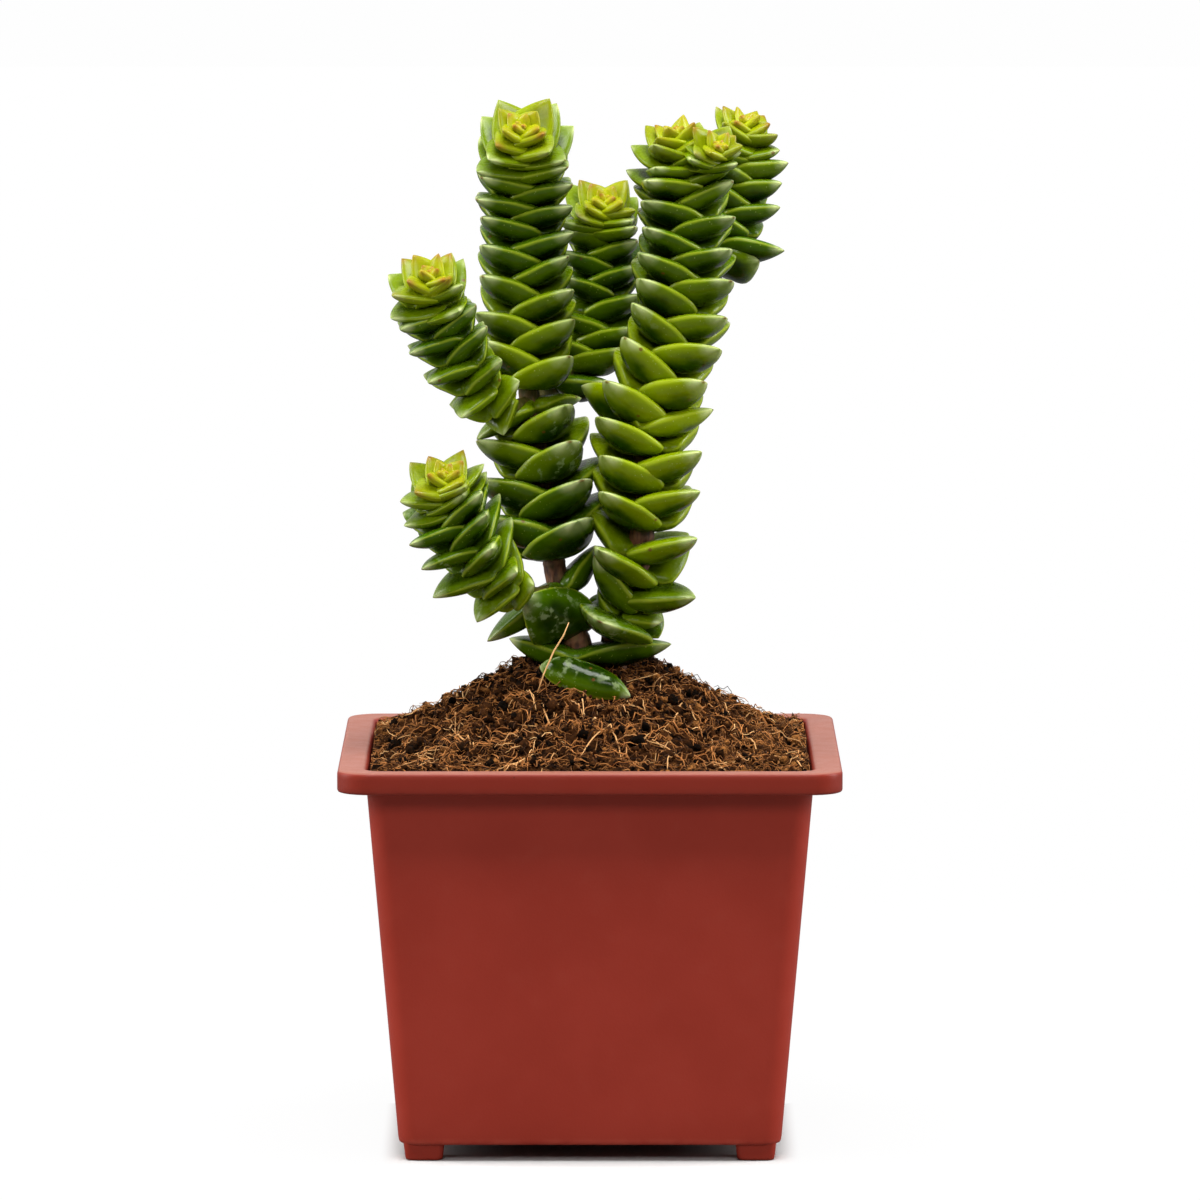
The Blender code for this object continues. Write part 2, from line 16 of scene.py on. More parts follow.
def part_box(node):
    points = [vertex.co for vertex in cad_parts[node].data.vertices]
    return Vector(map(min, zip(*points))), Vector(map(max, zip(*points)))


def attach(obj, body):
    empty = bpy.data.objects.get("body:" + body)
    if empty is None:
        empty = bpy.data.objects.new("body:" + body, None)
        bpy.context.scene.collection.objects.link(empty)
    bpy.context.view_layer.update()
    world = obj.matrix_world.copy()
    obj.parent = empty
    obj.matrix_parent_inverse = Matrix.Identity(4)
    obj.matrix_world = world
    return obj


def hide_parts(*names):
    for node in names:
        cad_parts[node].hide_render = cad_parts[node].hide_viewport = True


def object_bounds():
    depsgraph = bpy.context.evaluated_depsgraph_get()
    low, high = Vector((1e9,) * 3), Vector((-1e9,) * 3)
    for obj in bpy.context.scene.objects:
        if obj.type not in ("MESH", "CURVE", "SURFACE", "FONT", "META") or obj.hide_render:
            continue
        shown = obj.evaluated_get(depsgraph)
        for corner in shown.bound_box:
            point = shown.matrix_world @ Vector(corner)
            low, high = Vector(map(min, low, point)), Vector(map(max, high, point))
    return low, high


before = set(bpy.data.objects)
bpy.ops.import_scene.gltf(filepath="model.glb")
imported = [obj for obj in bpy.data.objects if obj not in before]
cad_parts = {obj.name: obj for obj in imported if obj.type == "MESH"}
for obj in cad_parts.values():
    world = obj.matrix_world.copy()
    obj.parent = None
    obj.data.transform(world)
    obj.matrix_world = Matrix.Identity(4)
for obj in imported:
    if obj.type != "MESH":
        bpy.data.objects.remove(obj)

cad_low, cad_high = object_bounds()

# ============================================================================================ pot
# A square nursery pot, injection moulded in one piece from terracotta-red polypropylene. Its walls lean
# out to a rim with a short hollow skirt, and four drafted pads under the corners hold the drained base
# off the table.
MM = 0.001
pot_low, pot_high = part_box("pot")
RIM_HALF = pot_high.x
POT_HEIGHT = pot_high.z
RIM_CORNER = 5.0 * MM
RIM_SKIRT = 3.5 * MM
RIM_WALL = 1.3 * MM
RIM_ROUND = 0.6 * MM
SKIRT_ROUND = 0.45 * MM
MOUTH_HALF = 35.3 * MM
MOUTH_ROUND = 0.9 * MM
BODY_TOP_HALF = 35.4 * MM
BODY_FOOT_HALF = 30.5 * MM
BODY_CORNER = 3.2 * MM
WALL = 1.4 * MM
WALL_STEPS = 14
BASE_ROUND = 0.6 * MM
FOOT_HEIGHT = 2.6 * MM
FOOT_WIDTH = 6.5 * MM
FOOT_INSET = 0.8 * MM
FOOT_CORNER = 1.0 * MM
DRAIN_RADIUS = 1.8 * MM
DRAIN_OFFSET = 15.0 * MM
SKIRT_FOOT = POT_HEIGHT - RIM_SKIRT
FLOOR_TOP = FOOT_HEIGHT + WALL


def paint(red, green, blue):
    """A colour as a paint chart gives it, 0 to 255, as the renderer's linear values."""
    linear = [((c / 255 + 0.055) / 1.055) ** 2.4 if c > 10 else c / 255 / 12.92 for c in (red, green, blue)]
    return (*linear, 1)


class Wires:
    """Short hand for adding the nodes of one material or group and joining them."""

    def __init__(self, tree):
        self.tree = tree

    def add(self, kind, **settings):
        made = self.tree.nodes.new("ShaderNode" + kind)
        for key, value in settings.items():
            setattr(made, key, value)
        return made

    def put(self, value, socket):
        if isinstance(value, bpy.types.NodeSocket):
            self.tree.links.new(value, socket)
        else:
            socket.default_value = value

    def maths(self, operation, *values, clamp=False):
        made = self.add("Math", operation=operation, use_clamp=clamp)
        for value, socket in zip(values, made.inputs):
            self.put(value, socket)
        return made.outputs[0]

    def plus(self, total, *others):
        for other in others:
            total = self.maths("ADD", total, other)
        return total

    def times(self, product, *others):
        for other in others:
            product = self.maths("MULTIPLY", product, other)
        return product

    def fade(self, value, low, high, start=0.0, end=1.0):
        """start below low, end above high, and a smooth step between."""
        made = self.add("MapRange", interpolation_type="SMOOTHSTEP")
        for number, socket in zip((value, low, high, start, end), made.inputs):
            self.put(number, socket)
        return made.outputs[0]

    def mix(self, share, first, second):
        made = self.add("Mix", data_type="RGBA")
        for value, socket in zip((share, first, second), (made.inputs[0], made.inputs[6], made.inputs[7])):
            self.put(value, socket)
        return made.outputs[2]

    def parts_of(self, vector):
        """The vector's three numbers, by "X", "Y" and "Z"."""
        made = self.add("SeparateXYZ")
        self.put(vector, made.inputs[0])
        return made.outputs

    def attribute(self, name):
        return self.add("Attribute", attribute_name=name).outputs["Fac"]

    def own_place(self):
        return self.add("TexCoord").outputs["Object"]

    def group(self, tree, **values):
        """The one output of a group with its inputs set."""
        made = self.add("Group")
        made.node_tree = tree
        for label, value in values.items():
            self.put(value, made.inputs[label])
        return made.outputs[0]


def new_group(name, inputs, output):
    """An empty node group of plain numbers: (group, wires, inside inputs, inside output)."""
    group = bpy.data.node_groups.new(name, "ShaderNodeTree")
    for label in inputs:
        group.interface.new_socket(label, in_out="INPUT", socket_type="NodeSocketFloat")
    group.interface.new_socket(output, in_out="OUTPUT", socket_type="NodeSocketFloat")
    inside = group.nodes.new("NodeGroupInput")
    outside = group.nodes.new("NodeGroupOutput")
    return group, Wires(group), inside.outputs, outside.inputs[output]


def make_mottle():
    """Soft clouds of a size, as a value round one half."""
    group, w, given, made = new_group("mottle", ("Size", "Detail"), "Cloud")
    clouds = w.add("TexNoise")
    w.put(w.own_place(), clouds.inputs["Vector"])
    w.put(w.maths("DIVIDE", 1.0, given["Size"]), clouds.inputs["Scale"])
    w.put(given["Detail"], clouds.inputs["Detail"])
    w.put(0.55, clouds.inputs["Roughness"])
    w.put(clouds.outputs["Fac"], made)
    return group


def make_specks():
    """Small round dots at about one a cell, 1 inside a dot."""
    group, w, given, made = new_group("specks", ("Cell", "Radius"), "Dots")
    cells = w.add("TexVoronoi", feature="F1")
    w.put(w.own_place(), cells.inputs["Vector"])
    w.put(w.maths("DIVIDE", 1.0, given["Cell"]), cells.inputs["Scale"])
    heart = w.times(given["Radius"], 0.7)
    w.put(w.fade(cells.outputs["Distance"], heart, given["Radius"], 1.0, 0.0), made)
    return group


MOTTLE = make_mottle()
SPECKS = make_specks()


def coat(w, shader, colour, rough):
    """Gives a shader its colour and its roughness."""
    w.put(colour, shader.inputs["Base Color"])
    w.put(rough, shader.inputs["Roughness"])


def new_material(name, **constants):
    """A material with its shader's plain values set: (material, wires, shader)."""
    material = bpy.data.materials.new(name)
    material.use_nodes = True
    shader = material.node_tree.nodes["Principled BSDF"]
    for label, value in constants.items():
        shader.inputs[label.replace("_", " ")].default_value = value
    return material, Wires(material.node_tree), shader


def add_bump(w, shader, height, depth, strength=1.0):
    """Relief on a shader: height 0 to 1 is that many metres deep."""
    relief = w.add("Bump")
    w.put(depth, relief.inputs["Distance"])
    w.put(strength, relief.inputs["Strength"])
    w.put(height, relief.inputs["Height"])
    w.put(relief.outputs["Normal"], shader.inputs["Normal"])


def new_object(name, data):
    made = bpy.data.objects.new(name, data)
    bpy.context.scene.collection.objects.link(made)
    return made


def piece_from(name, material, points, faces, marks):
    """A named smooth mesh piece that rides on the plant's one body; marks are numbers kept at its points."""
    mesh = bpy.data.meshes.new(name)
    mesh.from_pydata([tuple(p) for p in points], [], faces)
    for label, values in marks.items():
        kept = mesh.attributes.new(label, "FLOAT", "POINT")
        kept.data.foreach_set("value", np.asarray(values, np.float32))
    mesh.shade_smooth()
    mesh.materials.append(material)
    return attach(new_object(name, mesh), "root")


def square_ring(half, corner, z, corner_steps=8, side_steps=10):
    """Points of a level square ring with round corners, anticlockwise seen from above."""
    points = []
    for quarter in range(4):
        start = quarter * math.pi / 2
        x, y = math.cos(start + math.pi / 4), math.sin(start + math.pi / 4)
        centre = Vector((math.copysign(half - corner, x), math.copysign(half - corner, y)))
        for step in range(corner_steps + 1):
            angle = start + step / corner_steps * math.pi / 2
            points.append((centre.x + corner * math.cos(angle), centre.y + corner * math.sin(angle), z))
        last = points[-1]
        heading = start + math.pi
        for step in range(1, side_steps):
            away = 2 * (half - corner) * step / side_steps
            points.append((last[0] + math.cos(heading) * away, last[1] + math.sin(heading) * away, z))
    return points


def skin_rings(rows, count):
    """Faces that join rows of count points, and close the first and the last row."""
    faces = []
    for low in range(0, (rows - 1) * count, count):
        for i in range(count):
            j = (i + 1) % count
            faces.append((low + i, low + j, low + count + j, low + count + i))
    last = (rows - 1) * count
    return [*faces, tuple(reversed(range(count))), tuple(range(last, last + count))]


def wall_half(z):
    """Half width of the pot's outside at a height: the sides lean out evenly."""
    share = (z - FOOT_HEIGHT) / (SKIRT_FOOT - FOOT_HEIGHT)
    return BODY_FOOT_HALF + (BODY_TOP_HALF - BODY_FOOT_HALF) * share


def rounded(half, z, radius, start, end, steps=4):
    """(half width, height) along a round of the pot's section, from one angle in degrees to another."""
    turns = [math.radians(start + (end - start) * i / steps) for i in range(steps + 1)]
    return [(half + radius * math.cos(t), z + radius * math.sin(t)) for t in turns]


def pot_section():
    """The pot's wall as (half width, height, how worn its edge is), once round: under the base, up the
    wall, out under the rim, round its skirt and top, in at the mouth and down to the inside floor."""
    wall = np.linspace(FOOT_HEIGHT + 2 * BASE_ROUND, SKIRT_FOOT - 0.4 * MM, WALL_STEPS)
    ceiling = POT_HEIGHT - RIM_WALL
    skirt = RIM_HALF - RIM_WALL
    mouth_z = POT_HEIGHT - 0.1 * MM - MOUTH_ROUND
    half_way_down = 32 * MM
    inside = wall_half(FLOOR_TOP) - WALL
    stretches = [
        (0, [(6 * MM, FOOT_HEIGHT), (14 * MM, FOOT_HEIGHT), (22 * MM, FOOT_HEIGHT)]),
        (0.8, rounded(BODY_FOOT_HALF - BASE_ROUND, FOOT_HEIGHT + BASE_ROUND, BASE_ROUND, -90, -4)),
        (0, [(wall_half(z), z) for z in wall]),
        (0, [(BODY_TOP_HALF + 0.1 * MM, ceiling - 0.4 * MM), (BODY_TOP_HALF + 0.5 * MM, ceiling)]),
        (0, [(skirt - 0.4 * MM, ceiling), (skirt, ceiling - 0.4 * MM)]),
        (0.2, [(skirt + 0.1 * MM, SKIRT_FOOT + 0.3 * MM)]),
        (0.9, rounded(RIM_HALF - SKIRT_ROUND, SKIRT_FOOT + SKIRT_ROUND, SKIRT_ROUND, -110, 0)),
        (0, [(RIM_HALF, SKIRT_FOOT + 1.3 * MM), (RIM_HALF, POT_HEIGHT - 1.2 * MM)]),
        (1.0, rounded(RIM_HALF - RIM_ROUND, POT_HEIGHT - RIM_ROUND, RIM_ROUND, 5, 90)),
        (0.1, [(RIM_HALF - 1.6 * MM, POT_HEIGHT - 0.03 * MM)]),
        (0, [(MOUTH_HALF + 2.6 * MM, POT_HEIGHT - 0.06 * MM)]),
        (0.1, [(MOUTH_HALF + 1.5 * MM, POT_HEIGHT - 0.05 * MM)]),
        (0.7, rounded(MOUTH_HALF + MOUTH_ROUND, mouth_z, MOUTH_ROUND, 92, 176, 5)),
        (0, [(MOUTH_HALF - 0.1 * MM, SKIRT_FOOT + 0.6 * MM), (BODY_TOP_HALF - WALL, SKIRT_FOOT - 0.6 * MM)]),
        (0, [(wall_half(half_way_down) - WALL, half_way_down), (inside, FLOOR_TOP + 0.4 * MM)]),
        (0, [(inside - 0.5 * MM, FLOOR_TOP), (16 * MM, FLOOR_TOP), (6 * MM, FLOOR_TOP)]),
    ]
    return [(half, z, wear) for wear, stretch in stretches for half, z in stretch]


def corner_at(half):
    """Corner radius of the section's ring at a half width: the rim's is larger than the body's."""
    share = min(1.0, max(0.0, (half - BODY_TOP_HALF) / (RIM_HALF - BODY_TOP_HALF)))
    return min(BODY_CORNER + (RIM_CORNER - BODY_CORNER) * share, half * 0.9)


def cut_from(piece, cutter):
    """Takes a closed cutter out of a piece and removes the cutter."""
    cut = piece.modifiers.new("cut", "BOOLEAN")
    cut.operation = "DIFFERENCE"
    cut.object = cutter
    bpy.context.view_layer.update()
    made = bpy.data.meshes.new_from_object(piece.evaluated_get(bpy.context.evaluated_depsgraph_get()))
    piece.modifiers.clear()
    piece.data = made
    bpy.data.objects.remove(cutter)


def pot_plastic():
    """Satin terracotta polypropylene: faint clouds of colour, a fine eggshell grain and pale scuffs on worn
    edges. Painted shade darkens the rim's side and a painted reflection pales its top, with a few specks of
    dirt."""
    material, w, shader = new_material("pot_plastic", IOR=1.48, Specular_IOR_Level=0.2)
    clouds = w.group(MOTTLE, Size=16 * MM, Detail=3.0)
    patches = w.group(MOTTLE, Size=4 * MM, Detail=5.0)
    grain = w.group(MOTTLE, Size=0.35 * MM, Detail=2.0)
    dirt = w.group(SPECKS, Cell=3.2 * MM, Radius=0.045)
    high = w.parts_of(w.own_place())["Z"]
    faces_up = w.fade(w.parts_of(w.add("NewGeometry").outputs["Normal"])["Z"], 0.5, 0.9)
    # painted shade: the rim's side is darker than the wall below it
    rim_side_shade = w.fade(high, SKIRT_FOOT - 0.1 * MM, SKIRT_FOOT)
    # painted reflection: the top of the rim is paler, for the sheen it shows at a low angle
    rim_top_sheen = w.times(w.fade(high, POT_HEIGHT - 0.4 * MM, POT_HEIGHT - 0.1 * MM), faces_up)
    near_rim = w.fade(high, POT_HEIGHT - 3 * MM, POT_HEIGHT - 0.2 * MM)
    worn = w.times(w.attribute("edge_wear"), w.fade(patches, 0.30, 0.62))
    colour = w.mix(w.fade(clouds, 0.3, 0.7), paint(156, 50, 35), paint(162, 54, 39))
    colour = w.mix(w.times(w.fade(patches, 0.55, 0.75), 0.12), colour, paint(160, 66, 50))
    colour = w.mix(w.times(worn, 0.45), colour, paint(190, 84, 64))
    # painted shade on the rim's side
    colour = w.mix(w.times(rim_side_shade, 0.85), colour, paint(124, 38, 25))
    # painted reflection on the rim's top
    colour = w.mix(rim_top_sheen, colour, paint(150, 94, 80))
    colour = w.mix(w.times(dirt, near_rim), colour, paint(74, 34, 24))
    uneven = w.plus(w.times(patches, 0.6), w.times(grain, 0.4))
    coat(w, shader, colour, w.fade(uneven, 0.3, 0.7, 0.36, 0.50))
    add_bump(w, shader, w.plus(w.times(grain, 0.35), w.times(patches, 0.65)), 0.10 * MM, 0.5)
    return material


def make_pot(material):
    """The moulded wall, drilled at the middle and near the corners of its base."""
    section = pot_section()
    rings = [square_ring(half, corner_at(half), z) for half, z, _ in section]
    count = len(rings[0])
    points = [p for ring in rings for p in ring]
    wear = [worn for _, _, worn in section for _ in range(count)]
    pot = piece_from("pot_body", material, points, skin_rings(len(rings), count), {"edge_wear": wear})
    drills = bmesh.new()
    for x, y in [(0, 0)] + [(x, y) for x in (-1, 1) for y in (-1, 1)]:
        hole = bmesh.ops.create_cone(drills, cap_ends=True, segments=28, radius1=DRAIN_RADIUS,
                                     radius2=DRAIN_RADIUS, depth=4 * WALL)["verts"]
        middle = (x * DRAIN_OFFSET, y * DRAIN_OFFSET, FOOT_HEIGHT + WALL / 2)
        bmesh.ops.translate(drills, verts=hole, vec=middle)
    mesh = bpy.data.meshes.new("drills")
    drills.to_mesh(mesh)
    cut_from(pot, new_object("drills", mesh))
    pot.data.shade_smooth()
    pot.data.set_sharp_from_angle(angle=math.radians(40))
    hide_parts("pot")


def make_feet(material):
    """The four pads, each a drafted square boss with round corners and a softened sole."""
    reach = BODY_FOOT_HALF - FOOT_INSET - FOOT_WIDTH / 2
    section = [(0.40, 0.0, 1.0), (0.445, 0.12 * MM, 1.0), (0.462, 0.45 * MM, 0.0),
               (0.50, FOOT_HEIGHT - 0.1 * MM, 0.0), (0.52, FOOT_HEIGHT + 0.5 * MM, 0.0)]
    for side_x, across in ((-1, "left"), (1, "right")):
        for side_y, along in ((-1, "front"), (1, "back")):
            points, wear = [], []
            for share, z, worn in section:
                ring = square_ring(share * FOOT_WIDTH, FOOT_CORNER, z, 5, 3)
                points += [(x + side_x * reach, y + side_y * reach, z) for x, y, z in ring]
                wear += [worn] * len(ring)
            foot = piece_from(f"pot_foot_{along}_{across}", material, points,
                              skin_rings(len(section), len(ring)), {"edge_wear": wear})
            foot.data.set_sharp_from_angle(angle=math.radians(50))


POT_PLASTIC = pot_plastic()
make_pot(POT_PLASTIC)
make_feet(POT_PLASTIC)

# =========================================================================================== soil
# Peat and coir potting mix, heaped round the stems: crumbly, painted darker in its pits as shade and paler
# on its lumps as light, with curly brown coir all through it and some pale dry straws on top. Nothing fixes
# it: it fills the pot and slopes to the rim.
SOIL_EDGE_DROP = 0.8 * MM
SOIL_PEAK = 75.4 * MM
SOIL_PLATEAU = 11.0 * MM
SOIL_REACH = 1.06 * MOUTH_HALF
SOIL_DIP = 2.4 * MM
SOIL_HALF = MOUTH_HALF - 0.35 * MM
SOIL_CORNER = BODY_CORNER - WALL / 2
SOIL_CLEARANCE = 0.3 * MM
SOIL_GRID = 210
# painted shade and light by height: the soil's skin is darker below its smooth heap and paler above it
HEAP_LEVEL_SHADE = 0.25
PIT_SHADE_DEPTH = 2.6 * MM
CRUMBS = 6400


def heap_height(x, y):
    """Height of the smooth heap there: a plateau under the plant, slopes to the walls, and a shallow dip
    in front of the stems."""
    away = math.hypot(x + 0.4 * MM, y - 3.5 * MM)
    edge = POT_HEIGHT - SOIL_EDGE_DROP
    slope = max(0.0, 1.0 - max(0.0, away - SOIL_PLATEAU) / (SOIL_REACH - SOIL_PLATEAU))
    pressed = SOIL_DIP * math.exp(-((x / MM) ** 2 + (y / MM + 7.5) ** 2) / 80)
    return edge + (SOIL_PEAK - edge) * slope ** 1.2 - pressed


def soil_top(x, y):
    """Height of the crumbly surface there: lumps, crumbs, and pits between them, calmer at the wall."""
    spot = Vector((x, y, 0.0)) / MM
    lumps = (1.3 * noise.fractal(spot / 5.0, 0.9, 2.1, 3) + 1.7 * abs(noise.noise(spot / 1.7))
             + 0.7 * noise.noise(spot / 0.75))
    warp = Vector((noise.noise(spot / 0.9), noise.noise(spot / 0.9 + Vector((5, 0, 0))), 0.0))
    pits = max(0.0, noise.noise(spot / 2.4 + 0.45 * warp + Vector((7, 3, 0))) - 0.18) * 7.0
    inset = (SOIL_HALF - max(abs(x), abs(y))) / MM
    return heap_height(x, y) + (lumps - min(1.7, pits)) * MM * (0.30 + 0.70 * min(1.0, max(0.0, inset) / 4))


def potting_mix():
    """Damp crumb: three browns by crumb, grain and height, and no gloss. The height paints shade into the
    pits and light onto the lumps.
    """
    material, w, shader = new_material("potting_mix", Specular_IOR_Level=0.04)
    crumbs = w.group(MOTTLE, Size=1.3 * MM, Detail=6.0)
    grain = w.group(MOTTLE, Size=0.35 * MM, Detail=4.0)
    # the tone mark carries the heap's painted shade in its pits and painted light on its lumps, and each
    # crumb's own tone
    tone = w.plus(w.times(crumbs, 0.6), w.times(grain, 0.4), w.times(w.attribute("tone"), 0.45))
    colour = w.mix(w.fade(tone, 0.50, 0.78), paint(8, 4, 1), paint(58, 32, 12))
    colour = w.mix(w.fade(tone, 0.80, 1.02), colour, paint(150, 98, 50))
    coat(w, shader, colour, w.fade(grain, 0.3, 0.7, 0.72, 0.95))
    add_bump(w, shader, w.plus(crumbs, w.times(grain, 0.7)), 0.5 * MM, 1.0)
    return material


def round_off(x, y):
    """The place pulled in to the heap's round corner where it lies outside it."""
    over = Vector((max(0.0, abs(x) - SOIL_HALF + SOIL_CORNER), max(0.0, abs(y) - SOIL_HALF + SOIL_CORNER)))
    if over.length <= SOIL_CORNER:
        return x, y
    pull = over * (SOIL_CORNER / over.length - 1.0)
    return x + math.copysign(pull.x, x), y + math.copysign(pull.y, y)


def make_soil(material):
    """The heap's skin on a square grid, with straight sides down to the pot's floor."""
    spots = np.linspace(-SOIL_HALF, SOIL_HALF, SOIL_GRID)
    points, tone = [], []
    for y in spots:
        for x in spots:
            place = round_off(x, y)
            z = soil_top(*place)
            points.append((*place, z))
            # painted shade in the pits and painted light on the lumps, by height above the smooth heap
            tone.append(min(1.0, max(0.0, HEAP_LEVEL_SHADE + (z - heap_height(*place)) / PIT_SHADE_DEPTH)))
    n = SOIL_GRID
    faces = [(r * n + c, r * n + c + 1, (r + 1) * n + c + 1, (r + 1) * n + c)
             for r in range(n - 1) for c in range(n - 1)]
    upper = list(range(n)) + [r * n + n - 1 for r in range(1, n)]
    upper += [(n - 1) * n + c for c in range(n - 2, -1, -1)] + [r * n for r in range(n - 2, 0, -1)]
    border = [points[i] for i in upper]
    floor = FLOOR_TOP + SOIL_CLEARANCE
    for z, half in ((SKIRT_FOOT, BODY_TOP_HALF), (floor, wall_half(floor))):
        share = (half - WALL - SOIL_CLEARANCE) / SOIL_HALF
        lower = list(range(len(points), len(points) + len(border)))
        points += [(x * share, y * share, z) for x, y, _ in border]
        tone += [0.0] * len(border)
        for i in range(len(border)):
            j = (i + 1) % len(border)
            faces.append((upper[i], lower[i], lower[j], upper[j]))
        upper = lower
    faces.append(tuple(reversed(upper)))
    heap = piece_from("soil_heap", material, points, faces, {"tone": tone})
    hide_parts("soil")


def join_parts(parts):
    """Several (points, faces, marks) as one."""
    faces, total = [], 0
    for points, part_faces, _ in parts:
        faces += [tuple(i + total for i in face) for face in part_faces]
        total += len(points)
    marks = {label: np.concatenate([part[2][label] for part in parts]) for label in parts[0][2]}
    return np.concatenate([part[0] for part in parts]), faces, marks


def small_ball():
    """Points and faces of a small round ball to make crumbs from."""
    ball = bmesh.new()
    bmesh.ops.create_icosphere(ball, subdivisions=1, radius=1.0)
    points = np.array([v.co for v in ball.verts])
    faces = [[v.index for v in f.verts] for f in ball.faces]
    ball.free()
    return points, faces


def scatter_spot(random, reach=1.0):
    """A random place on the heap."""
    return random.uniform(-1, 1, 2) * SOIL_HALF * 0.985 * reach


def make_crumbs(material):
    """Loose clods and crumbs lying on the heap, each a knobbly ball of its own shape. Every seventh is a
    larger one, every third lies near the middle, and a few small ones are pale."""
    random = np.random.default_rng(21)
    ball, ball_faces = small_ball()
    parts = []
    for number in range(CRUMBS):
        x, y = scatter_spot(random, 1.0 if number % 3 else 0.55)
        size = random.uniform(0.2, 0.48) if number % 7 else random.uniform(0.48, 0.95)
        stretch = random.uniform(0.55, 1.4, 3)
        knobs = random.uniform(0.6, 1.35, len(ball))[:, None]
        turn = np.linalg.qr(random.normal(size=(3, 3)))[0]
        clod = (ball * knobs * stretch) @ turn.T * size * MM
        sink = random.uniform(-0.1, 0.8) * size * MM
        tone = random.uniform(0, 1) ** 1.3 + (0.9 if number % 90 == 1 and size < 0.4 else 0.0)
        parts.append((clod + (x, y, soil_top(x, y) + sink), ball_faces, {"tone": np.full(len(ball), tone)}))
    crumbs = piece_from("soil_crumbs", material, *join_parts(parts))


POTTING_MIX = potting_mix()
make_soil(POTTING_MIX)
make_crumbs(POTTING_MIX)

# ------------------------------------------------------------------------------------- coir fibre
# Short curly husk fibres, as fine as hair, that lie over and through the crumbs, with longer pale dry
# straws among them. They come out of the bag with the mix.
FIBRE_LIMIT = 0.995 * SOIL_HALF
STRAW_TONE = 0.55
STALK_TONE = 1.0
STALK_RADIUS = 0.14


def fibre_line(random, start, length, wander, steps, lift):
    """A fibre's middle line: a random walk that keeps near the soil and curls a little at each step."""
    heading = random.uniform(0, 2 * math.pi)
    climb = random.uniform(-0.3, 0.5)
    turn = random.normal(0, wander)
    spot = np.array([start[0], start[1], soil_top(*start) + lift])
    stride = length / steps
    line = [spot]
    for _ in range(steps):
        turn = 0.6 * turn + random.normal(0, wander)
        heading += turn
        climb = 0.7 * climb + random.normal(0, 0.35)
        spot = spot + stride * np.array([math.cos(heading) * math.cos(climb),
                                         math.sin(heading) * math.cos(climb), math.sin(climb)])
        spot[:2] = np.clip(spot[:2], -FIBRE_LIMIT, FIBRE_LIMIT)
        ground = soil_top(spot[0], spot[1])
        spot[2] = min(max(spot[2], ground + 0.05 * MM), ground + lift + 1.1 * MM)
        line.append(spot)
    return np.array(line)


def thread(line, radius, tone, sides=3):
    """A closed tapering thread round a middle line, all of one tone: (points, faces, marks)."""
    ahead = np.gradient(line, axis=0)
    ahead /= np.linalg.norm(ahead, axis=1, keepdims=True) + 1e-12
    side = np.cross(ahead, (0.3, 0.2, 1.0))
    side /= np.linalg.norm(side, axis=1, keepdims=True) + 1e-12
    over = np.cross(side, ahead)
    taper = radius * (0.45 + 0.55 * np.sin(np.linspace(0.25, math.pi - 0.15, len(line))))
    rings = [line[:, None] + taper[:, None, None] * (math.cos(a) * side + math.sin(a) * over)[:, None]
             for a in (2 * math.pi * k / sides for k in range(sides))]
    points = np.concatenate(rings, axis=1).reshape(-1, 3)
    faces = []
    for i in range(len(line) - 1):
        for k in range(sides):
            j = (k + 1) % sides
            a, b = i * sides, (i + 1) * sides
            faces += [(a + k, a + j, b + j), (a + k, b + j, b + k)]
    last = (len(line) - 1) * sides
    for k in range(1, sides - 1):
        faces += [(0, k + 1, k), (last, last + k, last + k + 1)]
    return points, faces, {"tone": np.full(len(points), tone)}


def make_fibres(name, material, seed, count, length, radius, wander, steps, lift):
    """Loose fibres of one kind, each with a length, thickness, lift and tone of its own."""
    random = np.random.default_rng(seed)
    parts = []
    for _ in range(count):
        line = fibre_line(random, scatter_spot(random), random.uniform(*length) * MM, wander, steps,
                          random.uniform(*lift) * MM)
        parts.append(thread(line, random.uniform(*radius) * MM, random.uniform(0, 1) ** 1.5))
    fibres = piece_from(name, material, *join_parts(parts))


def husk(name, dark, pale, rough):
    """Coir thread: every fibre its own tone between a dark and a pale brown, with a dry sheen."""
    material, w, shader = new_material(name, Specular_IOR_Level=0.12)
    streak = w.group(MOTTLE, Size=0.8 * MM, Detail=3.0)
    streaks = w.times(w.maths("SUBTRACT", streak, 0.5), 0.8)
    tone = w.maths("ADD", w.attribute("tone"), streaks, clamp=True)
    coat(w, shader, w.mix(tone, dark, pale), w.fade(streak, 0.3, 0.7, rough - 0.1, rough + 0.1))
    return material


